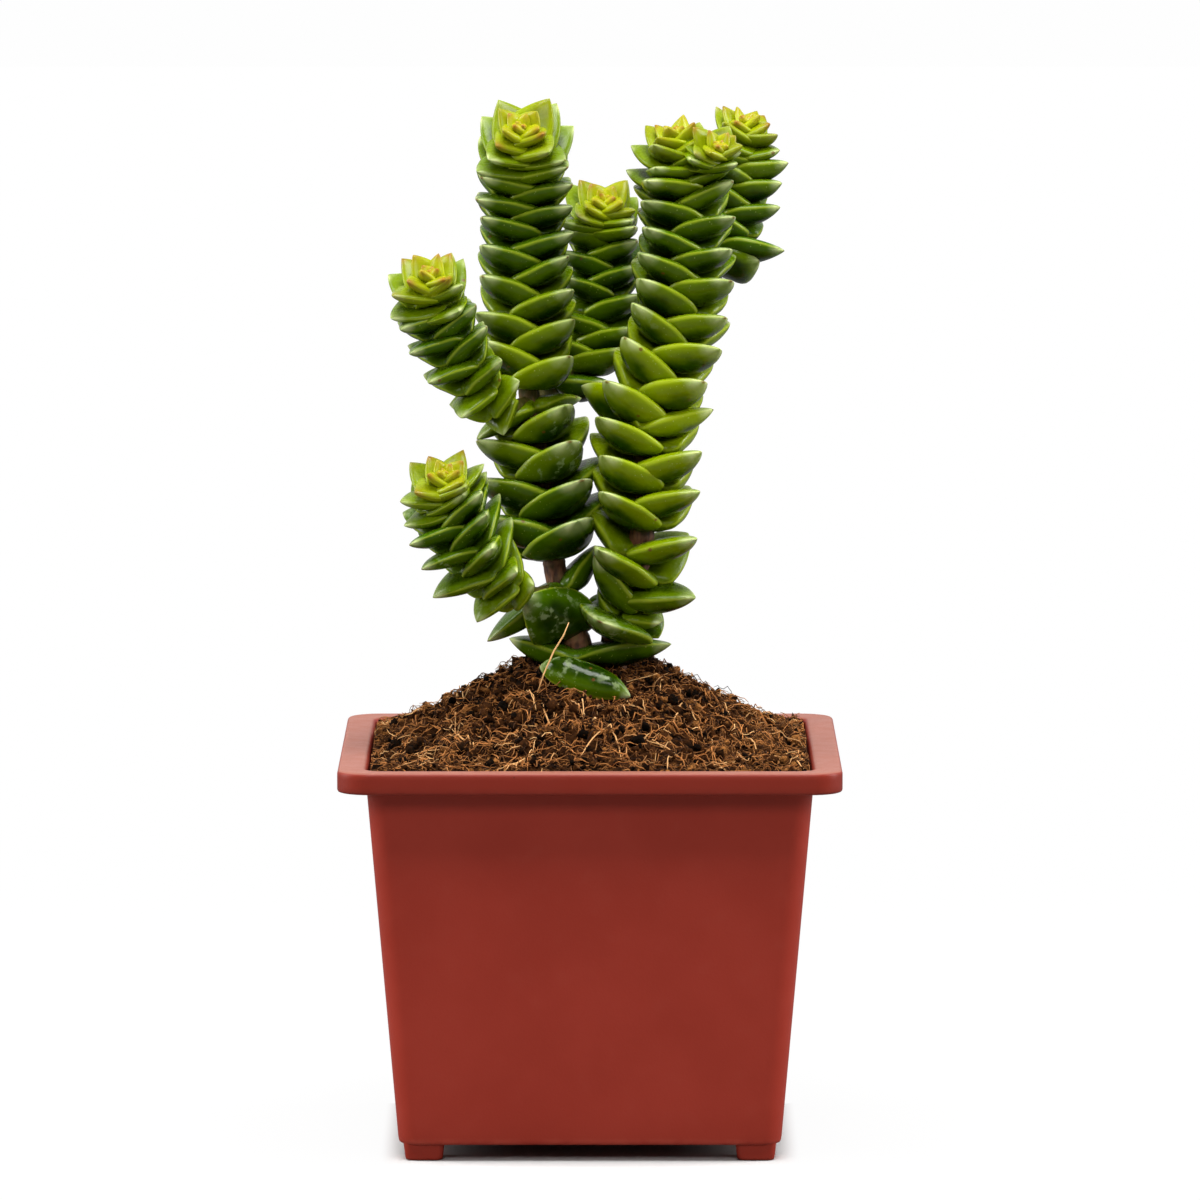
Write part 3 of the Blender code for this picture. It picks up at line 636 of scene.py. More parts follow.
# Each long straw: from x, y, to x, y, half its thickness and how high it arches, in millimetres.
STRAWS = [
    (15.8, -9.0, 13.3, -17.0, 0.13, 0.6), (15.8, -9.0, 18.4, -17.5, 0.11, 0.6),
    (-22.6, -14.5, -18.4, -22.0, 0.15, 0.5), (-13.8, -34.0, -8.2, -25.0, 0.16, 0.5),
    (-11.0, -29.0, -11.5, -33.5, 0.11, 0.3), (2.7, -19.0, 5.0, -30.0, 0.13, 0.5),
    (-7.8, -12.0, -5.6, -21.0, 0.13, 0.5), (-4.4, -10.5, -1.0, -18.0, 0.11, 0.7),
    (2.9, -11.0, 1.0, -17.5, 0.12, 1.0), (4.8, -13.6, 8.8, -15.0, 0.13, 0.4),
    (-1.4, -30.0, 3.2, -21.0, 0.12, 0.5), (24.8, -12.0, 27.0, -20.0, 0.13, 1.6),
    (33.0, -26.0, 34.0, -33.0, 0.12, 0.8), (9.0, -24.0, 14.0, -28.0, 0.11, 0.5),
    (-27.0, -24.0, -22.5, -31.0, 0.13, 0.5), (-30.0, -18.0, -24.0, -20.0, 0.11, 0.6),
    (18.0, -30.0, 24.0, -25.0, 0.13, 0.5), (-3.0, -26.0, -7.0, -31.0, 0.10, 0.4),
]
# The one stalk that stands up in front of the stems, in millimetres.
STALK = [(-8.4, -13.2, 73.2), (-7.4, -13.0, 76.2), (-5.8, -12.6, 79.8), (-4.2, -12.2, 82.4),
         (-3.4, -12, 84.4)]


def lay_straws(material):
    """The long pale straws, which arch over the soil, and the standing stalk."""
    random = np.random.default_rng(36)
    share = np.linspace(0, 1, 12)
    parts = []
    for x, y, end_x, end_y, radius, arch in STRAWS:
        bend = random.normal(0, 0.45, 2)
        across = x + (end_x - x) * share + bend[0] * np.sin(math.pi * share)
        along = y + (end_y - y) * share + bend[1] * np.sin(2 * math.pi * share)
        ground = np.array([soil_top(px * MM, py * MM) for px, py in zip(across, along)]) / MM
        level = np.interp(share, (0, 1), (ground[0], ground[-1]))
        height = np.maximum(level + arch * np.sin(math.pi * share), ground + 0.15) + 0.25
        line = np.stack([across, along, height], axis=1)
        parts.append(thread(line * MM, radius * MM, STRAW_TONE, sides=6))
    parts.append(thread(np.array(STALK) * MM, STALK_RADIUS * MM, STALK_TONE, sides=6))
    straws = piece_from("coir_straws", material, *join_parts(parts))


DARK_HUSK = husk("dark_husk", paint(34, 15, 5), paint(196, 128, 68), 0.7)
PALE_HUSK = husk("pale_husk", paint(158, 96, 44), paint(236, 186, 124), 0.6)
make_fibres("coir_short", DARK_HUSK, seed=31, count=3400, length=(1.2, 4.0), radius=(0.05, 0.12),
            wander=0.26, steps=5, lift=(0.05, 0.6))
make_fibres("coir_curly", DARK_HUSK, seed=32, count=1500, length=(3.0, 7.0), radius=(0.05, 0.11),
            wander=0.18, steps=8, lift=(0.1, 0.7))
make_fibres("coir_pale", PALE_HUSK, seed=33, count=460, length=(2.0, 6.5), radius=(0.06, 0.13),
            wander=0.12, steps=7, lift=(0.2, 0.8))
lay_straws(PALE_HUSK)

# ========================================================================================== stems
# Woody stems that root in the soil, brown and wrinkled, ringed by the scars of fallen leaf pairs. Four side
# shoots grow out of them. The upper stretches are green and mostly hidden by the leaves.
STEM_SIDES = 18
STEM_STEP = 0.45 * MM
SCAR_SPACING = 2.6  # millimetres along the stem, as are the next two
GREEN_FROM = 52
GREEN_OVER = 24


def steps_between(knots, at):
    """Value at a place along a shoot, from a few (place, value) knots with straight lines between them."""
    return float(np.interp(at, [place for place, _ in knots], [value for _, value in knots]))


class Route:
    """A stem's smooth centreline through its few points, walked by arc length."""

    STEPS = 10

    def __init__(self, points):
        self.points = self.smooth([Vector(p) * MM for p in points])
        self.lengths = [0.0]
        for a, b in zip(self.points, self.points[1:]):
            self.lengths.append(self.lengths[-1] + (b - a).length)

    def smooth(self, points):
        ends = [2 * points[0] - points[1], *points, 2 * points[-1] - points[-2]]
        walked = []
        for a, b, c, d in zip(ends, ends[1:], ends[2:], ends[3:]):
            for i in range(self.STEPS):
                t = i / self.STEPS
                walked.append(0.5 * (2 * b + (c - a) * t + (2 * a - 5 * b + 4 * c - d) * t * t
                                     + (3 * b - a - 3 * c + d) * t ** 3))
        return [*walked, points[-1]]

    def at(self, along):
        """(place, direction) at an arc length. It runs on straight past either end."""
        lengths = self.lengths
        i = next((k for k in range(1, len(lengths) - 1) if lengths[k] >= along), len(lengths) - 1)
        share = (along - lengths[i - 1]) / (lengths[i] - lengths[i - 1])
        place = self.points[i - 1].lerp(self.points[i], share)
        before = self.points[max(i - 3, 0)]
        after = self.points[min(i + 2, len(self.points) - 1)]
        return place, (after - before).normalized()

    def frame(self, along):
        """Place, then right, back and up axes there: up runs along the stem, and back is the world's +Y."""
        place, up = self.at(along)
        back = (Vector((0, 1, 0)) - up * up.y).normalized()
        return tuple(np.array(v) for v in (place, back.cross(up), back, up))


@dataclass
class Pair:
    """One fused pair of opposite leaves at an arc length of its shoot. lengths, tilts and rolls hold one
    value for the leaf that points along the azimuth and one for the leaf opposite. room is the height that
    the pair may fill. Azimuth 0 points to the front and 90 to the right, and fresh runs from 0, deep green,
    to 1, yellow. level 1 keeps a pair upright where its stem lies flat."""

    along: float
    azimuth: float
    lengths: tuple
    half_width: float
    tilts: tuple
    room: float = 3.0
    fresh: float = 0.3
    belly: float = 2.2
    point: float = 0.5
    worn: float = 0.5
    rolls: tuple = (0.0, 0.0)
    level: float = 0.0
    waist: float = 0.5


@dataclass
class Shoot:
    """One stem with its leaves. Lengths are in millimetres and angles in degrees. Each list of knots gives a
    value against the arc length from the stem's lower end. A run is the places of successive pairs, each a
    quarter turn from the one before, and the turn of its first. lean lifts the leaves of the left side and
    lowers those of the right. own_pairs are the uneven pairs, nod tips the rosette to the front and to the
    right, and twins are further tips beside it."""

    name: str
    whorls: int
    route: list
    radius: list
    runs: list
    azimuth: list
    length: list
    width: list
    tilt: list
    fresh: list
    belly: list
    point: list
    waist: float
    rosette_at: float
    rosette_size: float
    nod: tuple
    lean: list = field(default_factory=lambda: [(0, 0.0)])
    level: list = field(default_factory=lambda: [(0, 0.0)])
    own_pairs: list = field(default_factory=list)
    twins: list = field(default_factory=list)


SHOOTS = [
    Shoot(
        name="left",
        whorls=15,
        route=[(-0.6, 1.0, 61), (-0.6, 1.0, 72), (-1.4, 1.0, 77.5), (-2.6, 1.0, 81.5), (-4.9, 1.2, 87.5),
               (-6.4, 1.5, 96.3), (-8.1, 1.5, 107.7), (-9.7, 1.5, 119), (-10.2, 1.5, 130.3),
               (-10.5, 1.2, 143.2), (-10.6, 0.6, 151.3), (-10.6, -1.0, 156.6), (-10.7, -3.4, 161.0)],
        radius=[(0, 2.4), (20, 2.1), (27, 1.8), (60, 1.7), (90, 1.2), (103, 0.8)],
        runs=[((34.4, 37.0, 40.6, 42.8, 46.9, 49.2, 53.2), 0),
              ((62.0, 64.2, 67.4, 69.6, 72.9, 75.6, 78.5, 80.9, 83.4, 85.9, 88.0, 90.1, 92.1, 94.1,
                95.9), 0)],
        azimuth=[(30, 24), (44, 32), (56, 40), (65, 45), (85, 46), (103, 48)],
        length=[(30, 13.2), (44, 12.8), (56, 11.4), (61, 10.4), (66, 11.4), (78, 11.0), (96, 10.4)],
        width=[(30, 6.4), (44, 6.1), (56, 5.7), (65, 5.5), (96, 5.2)],
        tilt=[(30, 27), (56, 28), (68, 29), (78, 24), (90, 21), (96, 22)],
        fresh=[(14, 0.05), (40, 0.15), (50, 0.55), (60, 0.8), (70, 0.55), (82, 0.12), (92, 0.2), (98, 0.5)],
        belly=[(30, 3.3), (44, 3.2), (56, 3.1), (70, 2.9), (84, 2.5), (96, 2.2)],
        point=[(30, 0.2), (50, 0.4), (65, 0.55), (96, 0.6)],
        waist=0.5,
        rosette_at=98.0,
        rosette_size=10.6,
        nod=(46, -2),
        own_pairs=[Pair(16.7, 82, (15.0, 13.0), 4.6, (-6, 30), 2.4, 0.12, 3.4, 0.35, 1.1, waist=0.9),
                   Pair(21.4, -30, (13.2, 10.4), 6.0, (40, 12), 2.7, 0.1, 2.8, 0.6, 1.75, (44, 0)),
                   Pair(28.0, -76, (15.2, 9.6), 4.6, (-25, 40), 2.7, 0.15, 2.8, 0.5, 0.6),
                   Pair(57.8, -66, (10.8, 9.4), 4.4, (-22, 2), 2.6, 0.5, 2.0, 0.6, 0.3)],
    ),
    Shoot(
        name="right",
        whorls=14,
        route=[(3.8, 2.6, 61), (3.8, 2.6, 70), (3.7, 2.2, 78.5), (4.6, 1.3, 82.0), (6.6, -1.0, 87.5),
               (7.9, -2.4, 94), (8.6, -3.0, 103), (9.0, -3.0, 112), (10.0, -3.0, 119), (12.6, -3.0, 127.3),
               (14.3, -3.0, 133.8), (15.1, -3.0, 141.8), (15.2, -3.0, 149.9), (14.4, -3.2, 155.4),
               (13.8, -3.4, 160.6)],
        radius=[(0, 2.1), (20, 2.1), (35, 2.0), (60, 1.7), (90, 1.2), (103, 0.8)],
        runs=[((31.3, 35.0, 39.9, 42.3, 45.8, 48.3, 51.9), 1),
              ((57.3, 60.5, 63.5, 66.5, 69.8, 71.9, 74.9, 77.0, 80.1, 82.1, 84.7, 87.0, 89.5, 91.9,
                94.2), 1)],
        azimuth=[(27, 56), (35, 50), (45, 47), (65, 45), (88, 46), (96, 60)],
        length=[(27, 12.8), (45, 12.4), (58, 11.8), (70, 11.4), (90, 10.9), (98, 10.4)],
        width=[(27, 5.9), (45, 5.6), (60, 5.6), (96, 5.2)],
        tilt=[(27, 30), (40, 28), (55, 26), (62, 29), (70, 29), (80, 23), (96, 22)],
        fresh=[(20, 0.25), (30, 0.5), (40, 0.85), (62, 1.0), (72, 0.6), (84, 0.15), (92, 0.35), (98, 0.6)],
        belly=[(27, 3.0), (50, 3.1), (60, 3.2), (75, 2.8), (84, 2.5), (96, 2.2)],
        point=[(27, 0.6), (50, 0.5), (60, 0.35), (75, 0.4), (96, 0.55)],
        waist=0.5,
        rosette_at=95.6,
        rosette_size=10.4,
        nod=(14, -6),
        twins=[((4.2, -3.6, 2.6), 7.2, (46, 20))],
        lean=[(27, 3), (45, 4), (60, 1), (103, 0)],
        own_pairs=[Pair(22.2, -18, (12.2, 7.6), 6.8, (24, 30), 2.8, 0.2, 3.2, 0.5, 1.3, (-2, 0)),
                   Pair(24.6, 78, (6.4, 5.6), 4.4, (12, 24), 2.6, 0.45, 2.6, 0.1, 0.4),
                   Pair(26.4, -52, (12.8, 7.6), 4.6, (46, 16), 2.8, 0.3, 3.0, 0.7, 1.0),
                   Pair(28.0, 62, (12.6, 8.0), 5.0, (28, 24), 2.9, 0.35, 3.2, 0.7, 1.0),
                   Pair(55.6, 74, (11.4, 13.4), 6.2, (24, 24), 2.9, 1.0, 3.0, 0.8, 0.3, (0, -44),
                        waist=0.9)],
    ),
    Shoot(
        name="middle",
        whorls=3,
        route=[(-9.8, 1.5, 119.5), (-8.2, 7.4, 119.4), (-4.0, 12.8, 120.8), (0.2, 15.2, 125),
               (1.7, 15.7, 131.5), (1.7, 15.4, 140), (1.6, 14.6, 147), (1.5, 13.4, 153.5)],
        radius=[(0, 1.2), (12, 1.2), (42, 0.9)],
        runs=[((17.2, 19.2, 20.9, 24.2, 26.6, 29.6, 31.6, 34.1, 36.3, 38.3), 0)],
        level=[(14, 0.8), (24, 0.4), (32, 0.0)],
        azimuth=[(14, 36), (30, 40), (40, 44)],
        length=[(14, 11.0), (22, 10.8), (27, 9.9), (40, 9.0)],
        width=[(14, 5.0), (38, 4.4)],
        tilt=[(14, 16), (22, 20), (28, 25), (40, 23)],
        fresh=[(14, 0.5), (24, 0.25), (34, 0.1), (40, 0.5)],
        belly=[(14, 2.6), (40, 2.1)],
        point=[(14, 0.9), (40, 0.8)],
        waist=0.55,
        rosette_at=39.8,
        rosette_size=9.6,
        nod=(40, 6),
        lean=[(14, -16), (24, -10), (30, 0)],
        own_pairs=[Pair(12.6, 60, (8.5, 8.2), 5.2, (6, 14), 2.6, 0.1, 3.2, 0.6, 0.2, level=0.9)],
    ),
    Shoot(
        name="back_right",
        whorls=5,
        route=[(9.6, -3.0, 116.9), (11.2, 3.5, 117.4), (13.6, 10.0, 120.4), (16.5, 13.6, 127),
               (19.4, 14.8, 135), (21.9, 15.5, 143), (23.2, 16.0, 150), (24.2, 16.0, 156.5),
               (24.5, 15.4, 163.5)],
        radius=[(0, 1.2), (12, 1.2), (50, 0.9)],
        runs=[((38.4, 41.6, 44.2, 46.4, 48.4, 50.0, 51.5), 0)],
        azimuth=[(24, 56), (40, 60), (56, 58)],
        length=[(34, 11.0), (40, 9.9), (46, 9.4)],
        width=[(34, 5.6), (40, 4.8), (46, 4.5)],
        tilt=[(24, 17), (40, 20), (52, 22)],
        fresh=[(24, 0.3), (40, 0.1), (52, 0.4)],
        belly=[(24, 2.6), (46, 2.4)],
        point=[(24, 0.9), (46, 0.95)],
        waist=0.55,
        rosette_at=53.2,
        rosette_size=8.8,
        nod=(18, 8),
        lean=[(24, 4), (50, 2)],
        own_pairs=[Pair(36.0, 58, (7.9, 8.0), 5.2, (20, 16), 2.9, 0.4, 2.6, 0.7, 0.6, (-26, 0))],
    ),
    Shoot(
        name="upper_left",
        whorls=3,
        route=[(-9.6, 1.5, 118.6), (-12.5, -3.0, 118.2), (-16.0, -8.3, 119.8), (-19.5, -11.3, 124.2),
               (-22.4, -13.0, 129.8), (-25.0, -14.2, 135.2), (-27.7, -15.2, 140.4)],
        radius=[(0, 1.2), (10, 1.1), (32, 0.9)],
        runs=[((8.8, 11.6, 14.4, 17.1, 19.8, 22.3, 24.7, 27.0, 29.1), 0)],
        azimuth=[(8, -40), (32, -42)],
        length=[(8, 5.6), (15, 8.9), (22, 9.4), (28, 9.0)],
        width=[(8, 3.4), (15, 4.0), (28, 4.3)],
        tilt=[(8, 18), (15, 22), (28, 22)],
        fresh=[(8, 0.7), (16, 0.35), (26, 0.05), (32, 0.3)],
        belly=[(8, 1.7), (32, 2.0)],
        point=[(8, 0.8), (32, 0.8)],
        waist=0.8,
        rosette_at=30.2,
        rosette_size=10.2,
        nod=(38, -4),
    ),
    Shoot(
        name="lower_left",
        whorls=3,
        route=[(-4.9, 1.1, 88.3), (-9.3, -4.4, 88.1), (-14.4, -9.4, 90.4), (-18.5, -12.3, 95.6),
               (-22.2, -13.5, 101.6), (-25.5, -15.0, 108.2)],
        radius=[(0, 1.2), (10, 1.1), (30, 0.9)],
        runs=[((11.2, 13.6, 16.0, 18.3, 20.5, 22.6, 24.6, 26.5, 28.2), 0)],
        azimuth=[(8, 30), (20, 24), (28, 40)],
        length=[(10, 6.2), (14, 8.8), (20, 10.6), (26, 10.2)],
        width=[(10, 3.4), (14, 4.2), (26, 4.9)],
        tilt=[(7, 18), (14, 22), (26, 24)],
        fresh=[(8, 0.75), (16, 0.4), (26, 0.05), (30, 0.3)],
        belly=[(7, 1.7), (26, 2.0)],
        point=[(8, 0.8), (30, 0.7)],
        waist=0.8,
        rosette_at=30.4,
        rosette_size=9.3,
        nod=(36, -2),
    ),
]


def bark():
    """Brown, faintly ribbed bark below, fading into green young stem above."""
    material, w, shader = new_material("bark", IOR=1.4)
    stretch = w.add("Mapping")
    w.put(w.own_place(), stretch.inputs["Vector"])
    stretch.inputs["Scale"].default_value = (1.0, 1.0, 0.3)
    fissures = w.add("TexNoise")
    w.put(stretch.outputs["Vector"], fissures.inputs["Vector"])
    w.put(1 / (0.7 * MM), fissures.inputs["Scale"])
    w.put(4.0, fissures.inputs["Detail"])
    clouds = w.group(MOTTLE, Size=3 * MM, Detail=4.0)
    colour = w.mix(w.fade(fissures.outputs["Fac"], 0.35, 0.65), paint(66, 36, 22), paint(128, 82, 56))
    colour = w.mix(w.times(w.fade(clouds, 0.5, 0.7), 0.5), colour, paint(92, 84, 38))
    colour = w.mix(w.times(w.attribute("scar"), 0.6), colour, paint(150, 112, 82))
    colour = w.mix(w.attribute("green"), colour, paint(92, 104, 26))
    coat(w, shader, colour, w.fade(clouds, 0.3, 0.7, 0.45, 0.7))
    add_bump(w, shader, fissures.outputs["Fac"], 0.25 * MM, 0.8)
    return material


def make_stem(shoot, material):
    """The stem as a ribbed tube with a low ring at every scar, from its foot to the rosette."""
    route = Route(shoot.route)
    top = shoot.rosette_at * MM
    count = round(top / STEM_STEP)
    side_shoot = shoot.name not in ("left", "right")
    points, scar, green = [], [], []
    for i in range(count + 1):
        along = top * i / count
        place, right, back, _ = route.frame(along)
        swell = max(0.0, 1 - abs((along / MM / SCAR_SPACING) % 1 - 0.5) * 2 / 0.22)
        young = 0.55 if side_shoot else min(1.0, max(0.0, (along / MM - GREEN_FROM) / GREEN_OVER))
        for k in range(STEM_SIDES):
            angle = 2 * math.pi * k / STEM_SIDES
            ribs = 0.045 * math.sin(3 * angle + along * 190) + 0.03 * math.sin(7 * angle + 2)
            lump = 0.07 * noise.noise(Vector((math.cos(angle), math.sin(angle), along / MM / 1.8)))
            radius = steps_between(shoot.radius, along / MM) * MM * (1 + ribs + lump + 0.09 * swell)
            points.append(place + radius * (math.cos(angle) * right + math.sin(angle) * back))
            scar.append(swell)
            green.append(young)
    stem = piece_from(f"stem_{shoot.name}_bark", material, points, skin_rings(count + 1, STEM_SIDES),
                      {"scar": scar, "green": green})
    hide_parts(f"stem_{shoot.name}")


BARK = bark()
for shoot in SHOOTS:
    make_stem(shoot, BARK)

# ========================================================================================= leaves
# Fleshy leaves in opposite pairs. The two of a pair are fused into one blade round the stem, low-domed on
# top and full below, and every pair sits a quarter turn from the one under it. The skin is waxy and smooth.
# Lengths here are in millimetres and angles in degrees. Places along a leaf are shares of its length.
RUN_END_ROOM = 2.2
MOST_ROOM = 3.2
OLD_BELOW = 118 * MM
PLAIN_WEAR = 0.55
OLD_WEAR = 0.7
LEAF_STATIONS = 19
LEAF_RING = 24
TIP_AT = 0.9988
ROOT_BEND = 0.14
WIDEST = 0.17
FULL_TO = 0.3
LEAF_ARCH = -24.0
DOME = 0.75
CUP = 0.25
# How far single leaves stray from their pair's plan.
AZIMUTH_UNEVEN = 1.5
TILT_UNEVEN = 1.5
ROLL_UNEVEN = 4.0
ARCH_UNEVEN = 3
LENGTH_UNEVEN = 0.025
SWEEP_UNEVEN = 0.4
BELLY_UNEVEN = 0.06
POINT_UNEVEN = 0.08
WEAR_UNEVEN = 0.3


def regular_pair(shoot, along, turn, room):
    """A pair of a run: its sizes come from the shoot's knots, and the old pairs low down are more worn."""
    def read(knots):
        return steps_between(knots, along)

    azimuth = read(shoot.azimuth) + 90 * (turn % 2)
    swing = read(shoot.lean) * math.sin(math.radians(azimuth))
    tilts = (read(shoot.tilt) - swing, read(shoot.tilt) + swing)
    old = Route(shoot.route).frame(along * MM)[0][2] < OLD_BELOW
    worn = PLAIN_WEAR - read(shoot.fresh) * 0.3 + OLD_WEAR * old
    return Pair(along, azimuth, (read(shoot.length), read(shoot.length)), read(shoot.width), tilts,
                min(room, MOST_ROOM), read(shoot.fresh), read(shoot.belly), read(shoot.point), worn,
                level=read(shoot.level), waist=shoot.waist)


def list_pairs(shoot):
    """The leaf pairs of a shoot below its rosette, from the foot up."""
    pairs = list(shoot.own_pairs)
    for places, turn in shoot.runs:
        for index, along in enumerate(places):
            following = places[index + 1] if index + 1 < len(places) else along + RUN_END_ROOM
            pairs.append(regular_pair(shoot, along, turn + index, following - along))
    return sorted(pairs, key=lambda pair: pair.along)


def midrib(x, tilt, length, curl):
    """(reach, rise, angle) of the midrib at distances x. It is level at the stem and soon at its tilt, round
    which it bends by the degrees of curl: up towards the tip, or down where curl is negative."""
    root = ROOT_BEND * length
    fine = np.linspace(0, length, 90)
    bend = math.radians(curl) * (fine / length - 0.5)
    angle = (tilt + bend) * np.minimum(1.0, fine / root)
    step = fine[1]
    reach = np.concatenate([[0], np.cumsum(np.cos(angle[:-1]) * step)])
    rise = np.concatenate([[0], np.cumsum(np.sin(angle[:-1]) * step)])
    return np.interp(x, fine, reach), np.interp(x, fine, rise), np.interp(x, fine, angle)


def ease(u, full_at):
    """Rises from 0 at u 0 to 1 at full_at, and stays there."""
    return np.sin(np.minimum(1.0, u / full_at) * math.pi / 2)


def leaf_width(u, point, waist):
    """Half width from the stem (u 0) to the tip (u 1) as a share of the widest: point 1 is acute and 0 is
    round. The waist is its share at the stem, where the two leaves are joined."""
    widen = waist + (1 - waist) * ease(u, WIDEST)
    t = np.clip((u - WIDEST) / (1 - WIDEST), 0, 1)
    power, blunt = 2.3 - 0.7 * point, 0.56 + 0.42 * point
    return widen * (1 - t ** power) ** blunt


def leaf_depth(u, core, belly):
    """How far the underside hangs below the midrib's line, in millimetres: plump nearly to the tip."""
    fill = core + (belly - core) * ease(u, 0.4) ** 1.2
    t = np.clip((u - FULL_TO) / (1 - FULL_TO), 0, 1)
    return fill * (1 - t ** 2.5) ** 0.85


def blade(pair, side, random, cup, curl, u, turn, core):
    """One leaf of a pair: its points as (outward, across, up) in millimetres, and the marks at them."""
    sideways, upright = np.cos(turn), np.sin(turn)
    length = pair.lengths[side] * (1 + random.normal(0, LENGTH_UNEVEN))
    tilt = math.radians(pair.tilts[side] + random.normal(0, TILT_UNEVEN))
    roll = math.radians(pair.rolls[side] + random.normal(0, ROLL_UNEVEN))
    sweep = random.normal(0, SWEEP_UNEVEN)
    depth = pair.belly * (1 + random.normal(0, BELLY_UNEVEN))
    ripple = random.normal(0, 1.0, 4)
    half = pair.half_width * leaf_width(u, pair.point + random.normal(0, POINT_UNEVEN), pair.waist)
    hang = leaf_depth(u, core, depth)
    crown = 0.62 * core * (1 - u) ** 1.3 + DOME * (1 - u ** 4) ** 0.6
    reach, rise, angle = midrib(u * length, tilt, length, curl + random.normal(0, ARCH_UNEVEN))
    y = half[:, None] * sideways
    top = crown[:, None] * np.clip(upright, 0, 1) ** 1.05
    under = hang[:, None] * np.clip(-upright, 0, 1) ** 1.12
    edge = (np.abs(y) / pair.half_width) ** 2
    spread = ease(u, 0.5)[:, None]
    wave = 0.10 * ripple[0] * np.sin(6 * u + ripple[1]) + 0.07 * np.sin(13 * u + 3 * ripple[2])
    height = top - under + cup * edge * spread + (wave * np.minimum(1, 3 * u))[:, None] * edge
    spin = roll * spread
    y, height = y * np.cos(spin) - height * np.sin(spin), y * np.sin(spin) + height * np.cos(spin)
    y = y + sweep * (u ** 2)[:, None]
    x = reach[:, None] - np.sin(angle)[:, None] * height
    z = rise[:, None] + np.cos(angle)[:, None] * height
    worn = max(0.0, random.normal(pair.worn * 0.9 - 0.3, WEAR_UNEVEN))
    marks = {"margin": np.abs(sideways), "along": u[:, None], "upper": np.clip(upright * 4 + 0.5, 0, 1),
             "worn": worn, "tint": random.uniform(0, 1), "fresh": pair.fresh}
    return (x, y, z), {label: np.broadcast_to(values, y.shape) for label, values in marks.items()}


def leaf_pair(axes, pair, random, cup=CUP, curl=LEAF_ARCH, rose=0.0, stations=LEAF_STATIONS,
              ring=LEAF_RING, core=None):
    """One fused pair as a closed tube of sections from tip to tip: (points, faces, marks)."""
    place, right, back, up = axes
    azimuth = math.radians(pair.azimuth + random.normal(0, AZIMUTH_UNEVEN))
    first = math.sin(azimuth) * right - math.cos(azimuth) * back
    across = np.cross(up, first)
    core = core or 0.60 * pair.room - 0.1
    u = 1 - (1 - np.linspace(0, 1, stations)) ** 1.4
    u[-1] = TIP_AT
    turn = 2 * math.pi * np.arange(ring) / ring
    sections, marks = [], []
    for side, outward, order in ((0, first, slice(None, None, -1)), (1, -first, slice(1, None))):
        (x, y, z), side_marks = blade(pair, side, random, cup, curl, u, turn, core)
        spots = place + MM * (x[..., None] * outward + y[..., None] * across + z[..., None] * up)
        sections.append(spots[order])
        marks.append({label: values[order] for label, values in side_marks.items()})
    points = np.concatenate(sections).reshape(-1, 3)
    marks = {label: np.concatenate([one[label] for one in marks]).reshape(-1) for label in marks[0]}
    marks["rose"] = np.full(len(points), rose)
    return points, skin_rings(len(points) // ring, ring), marks


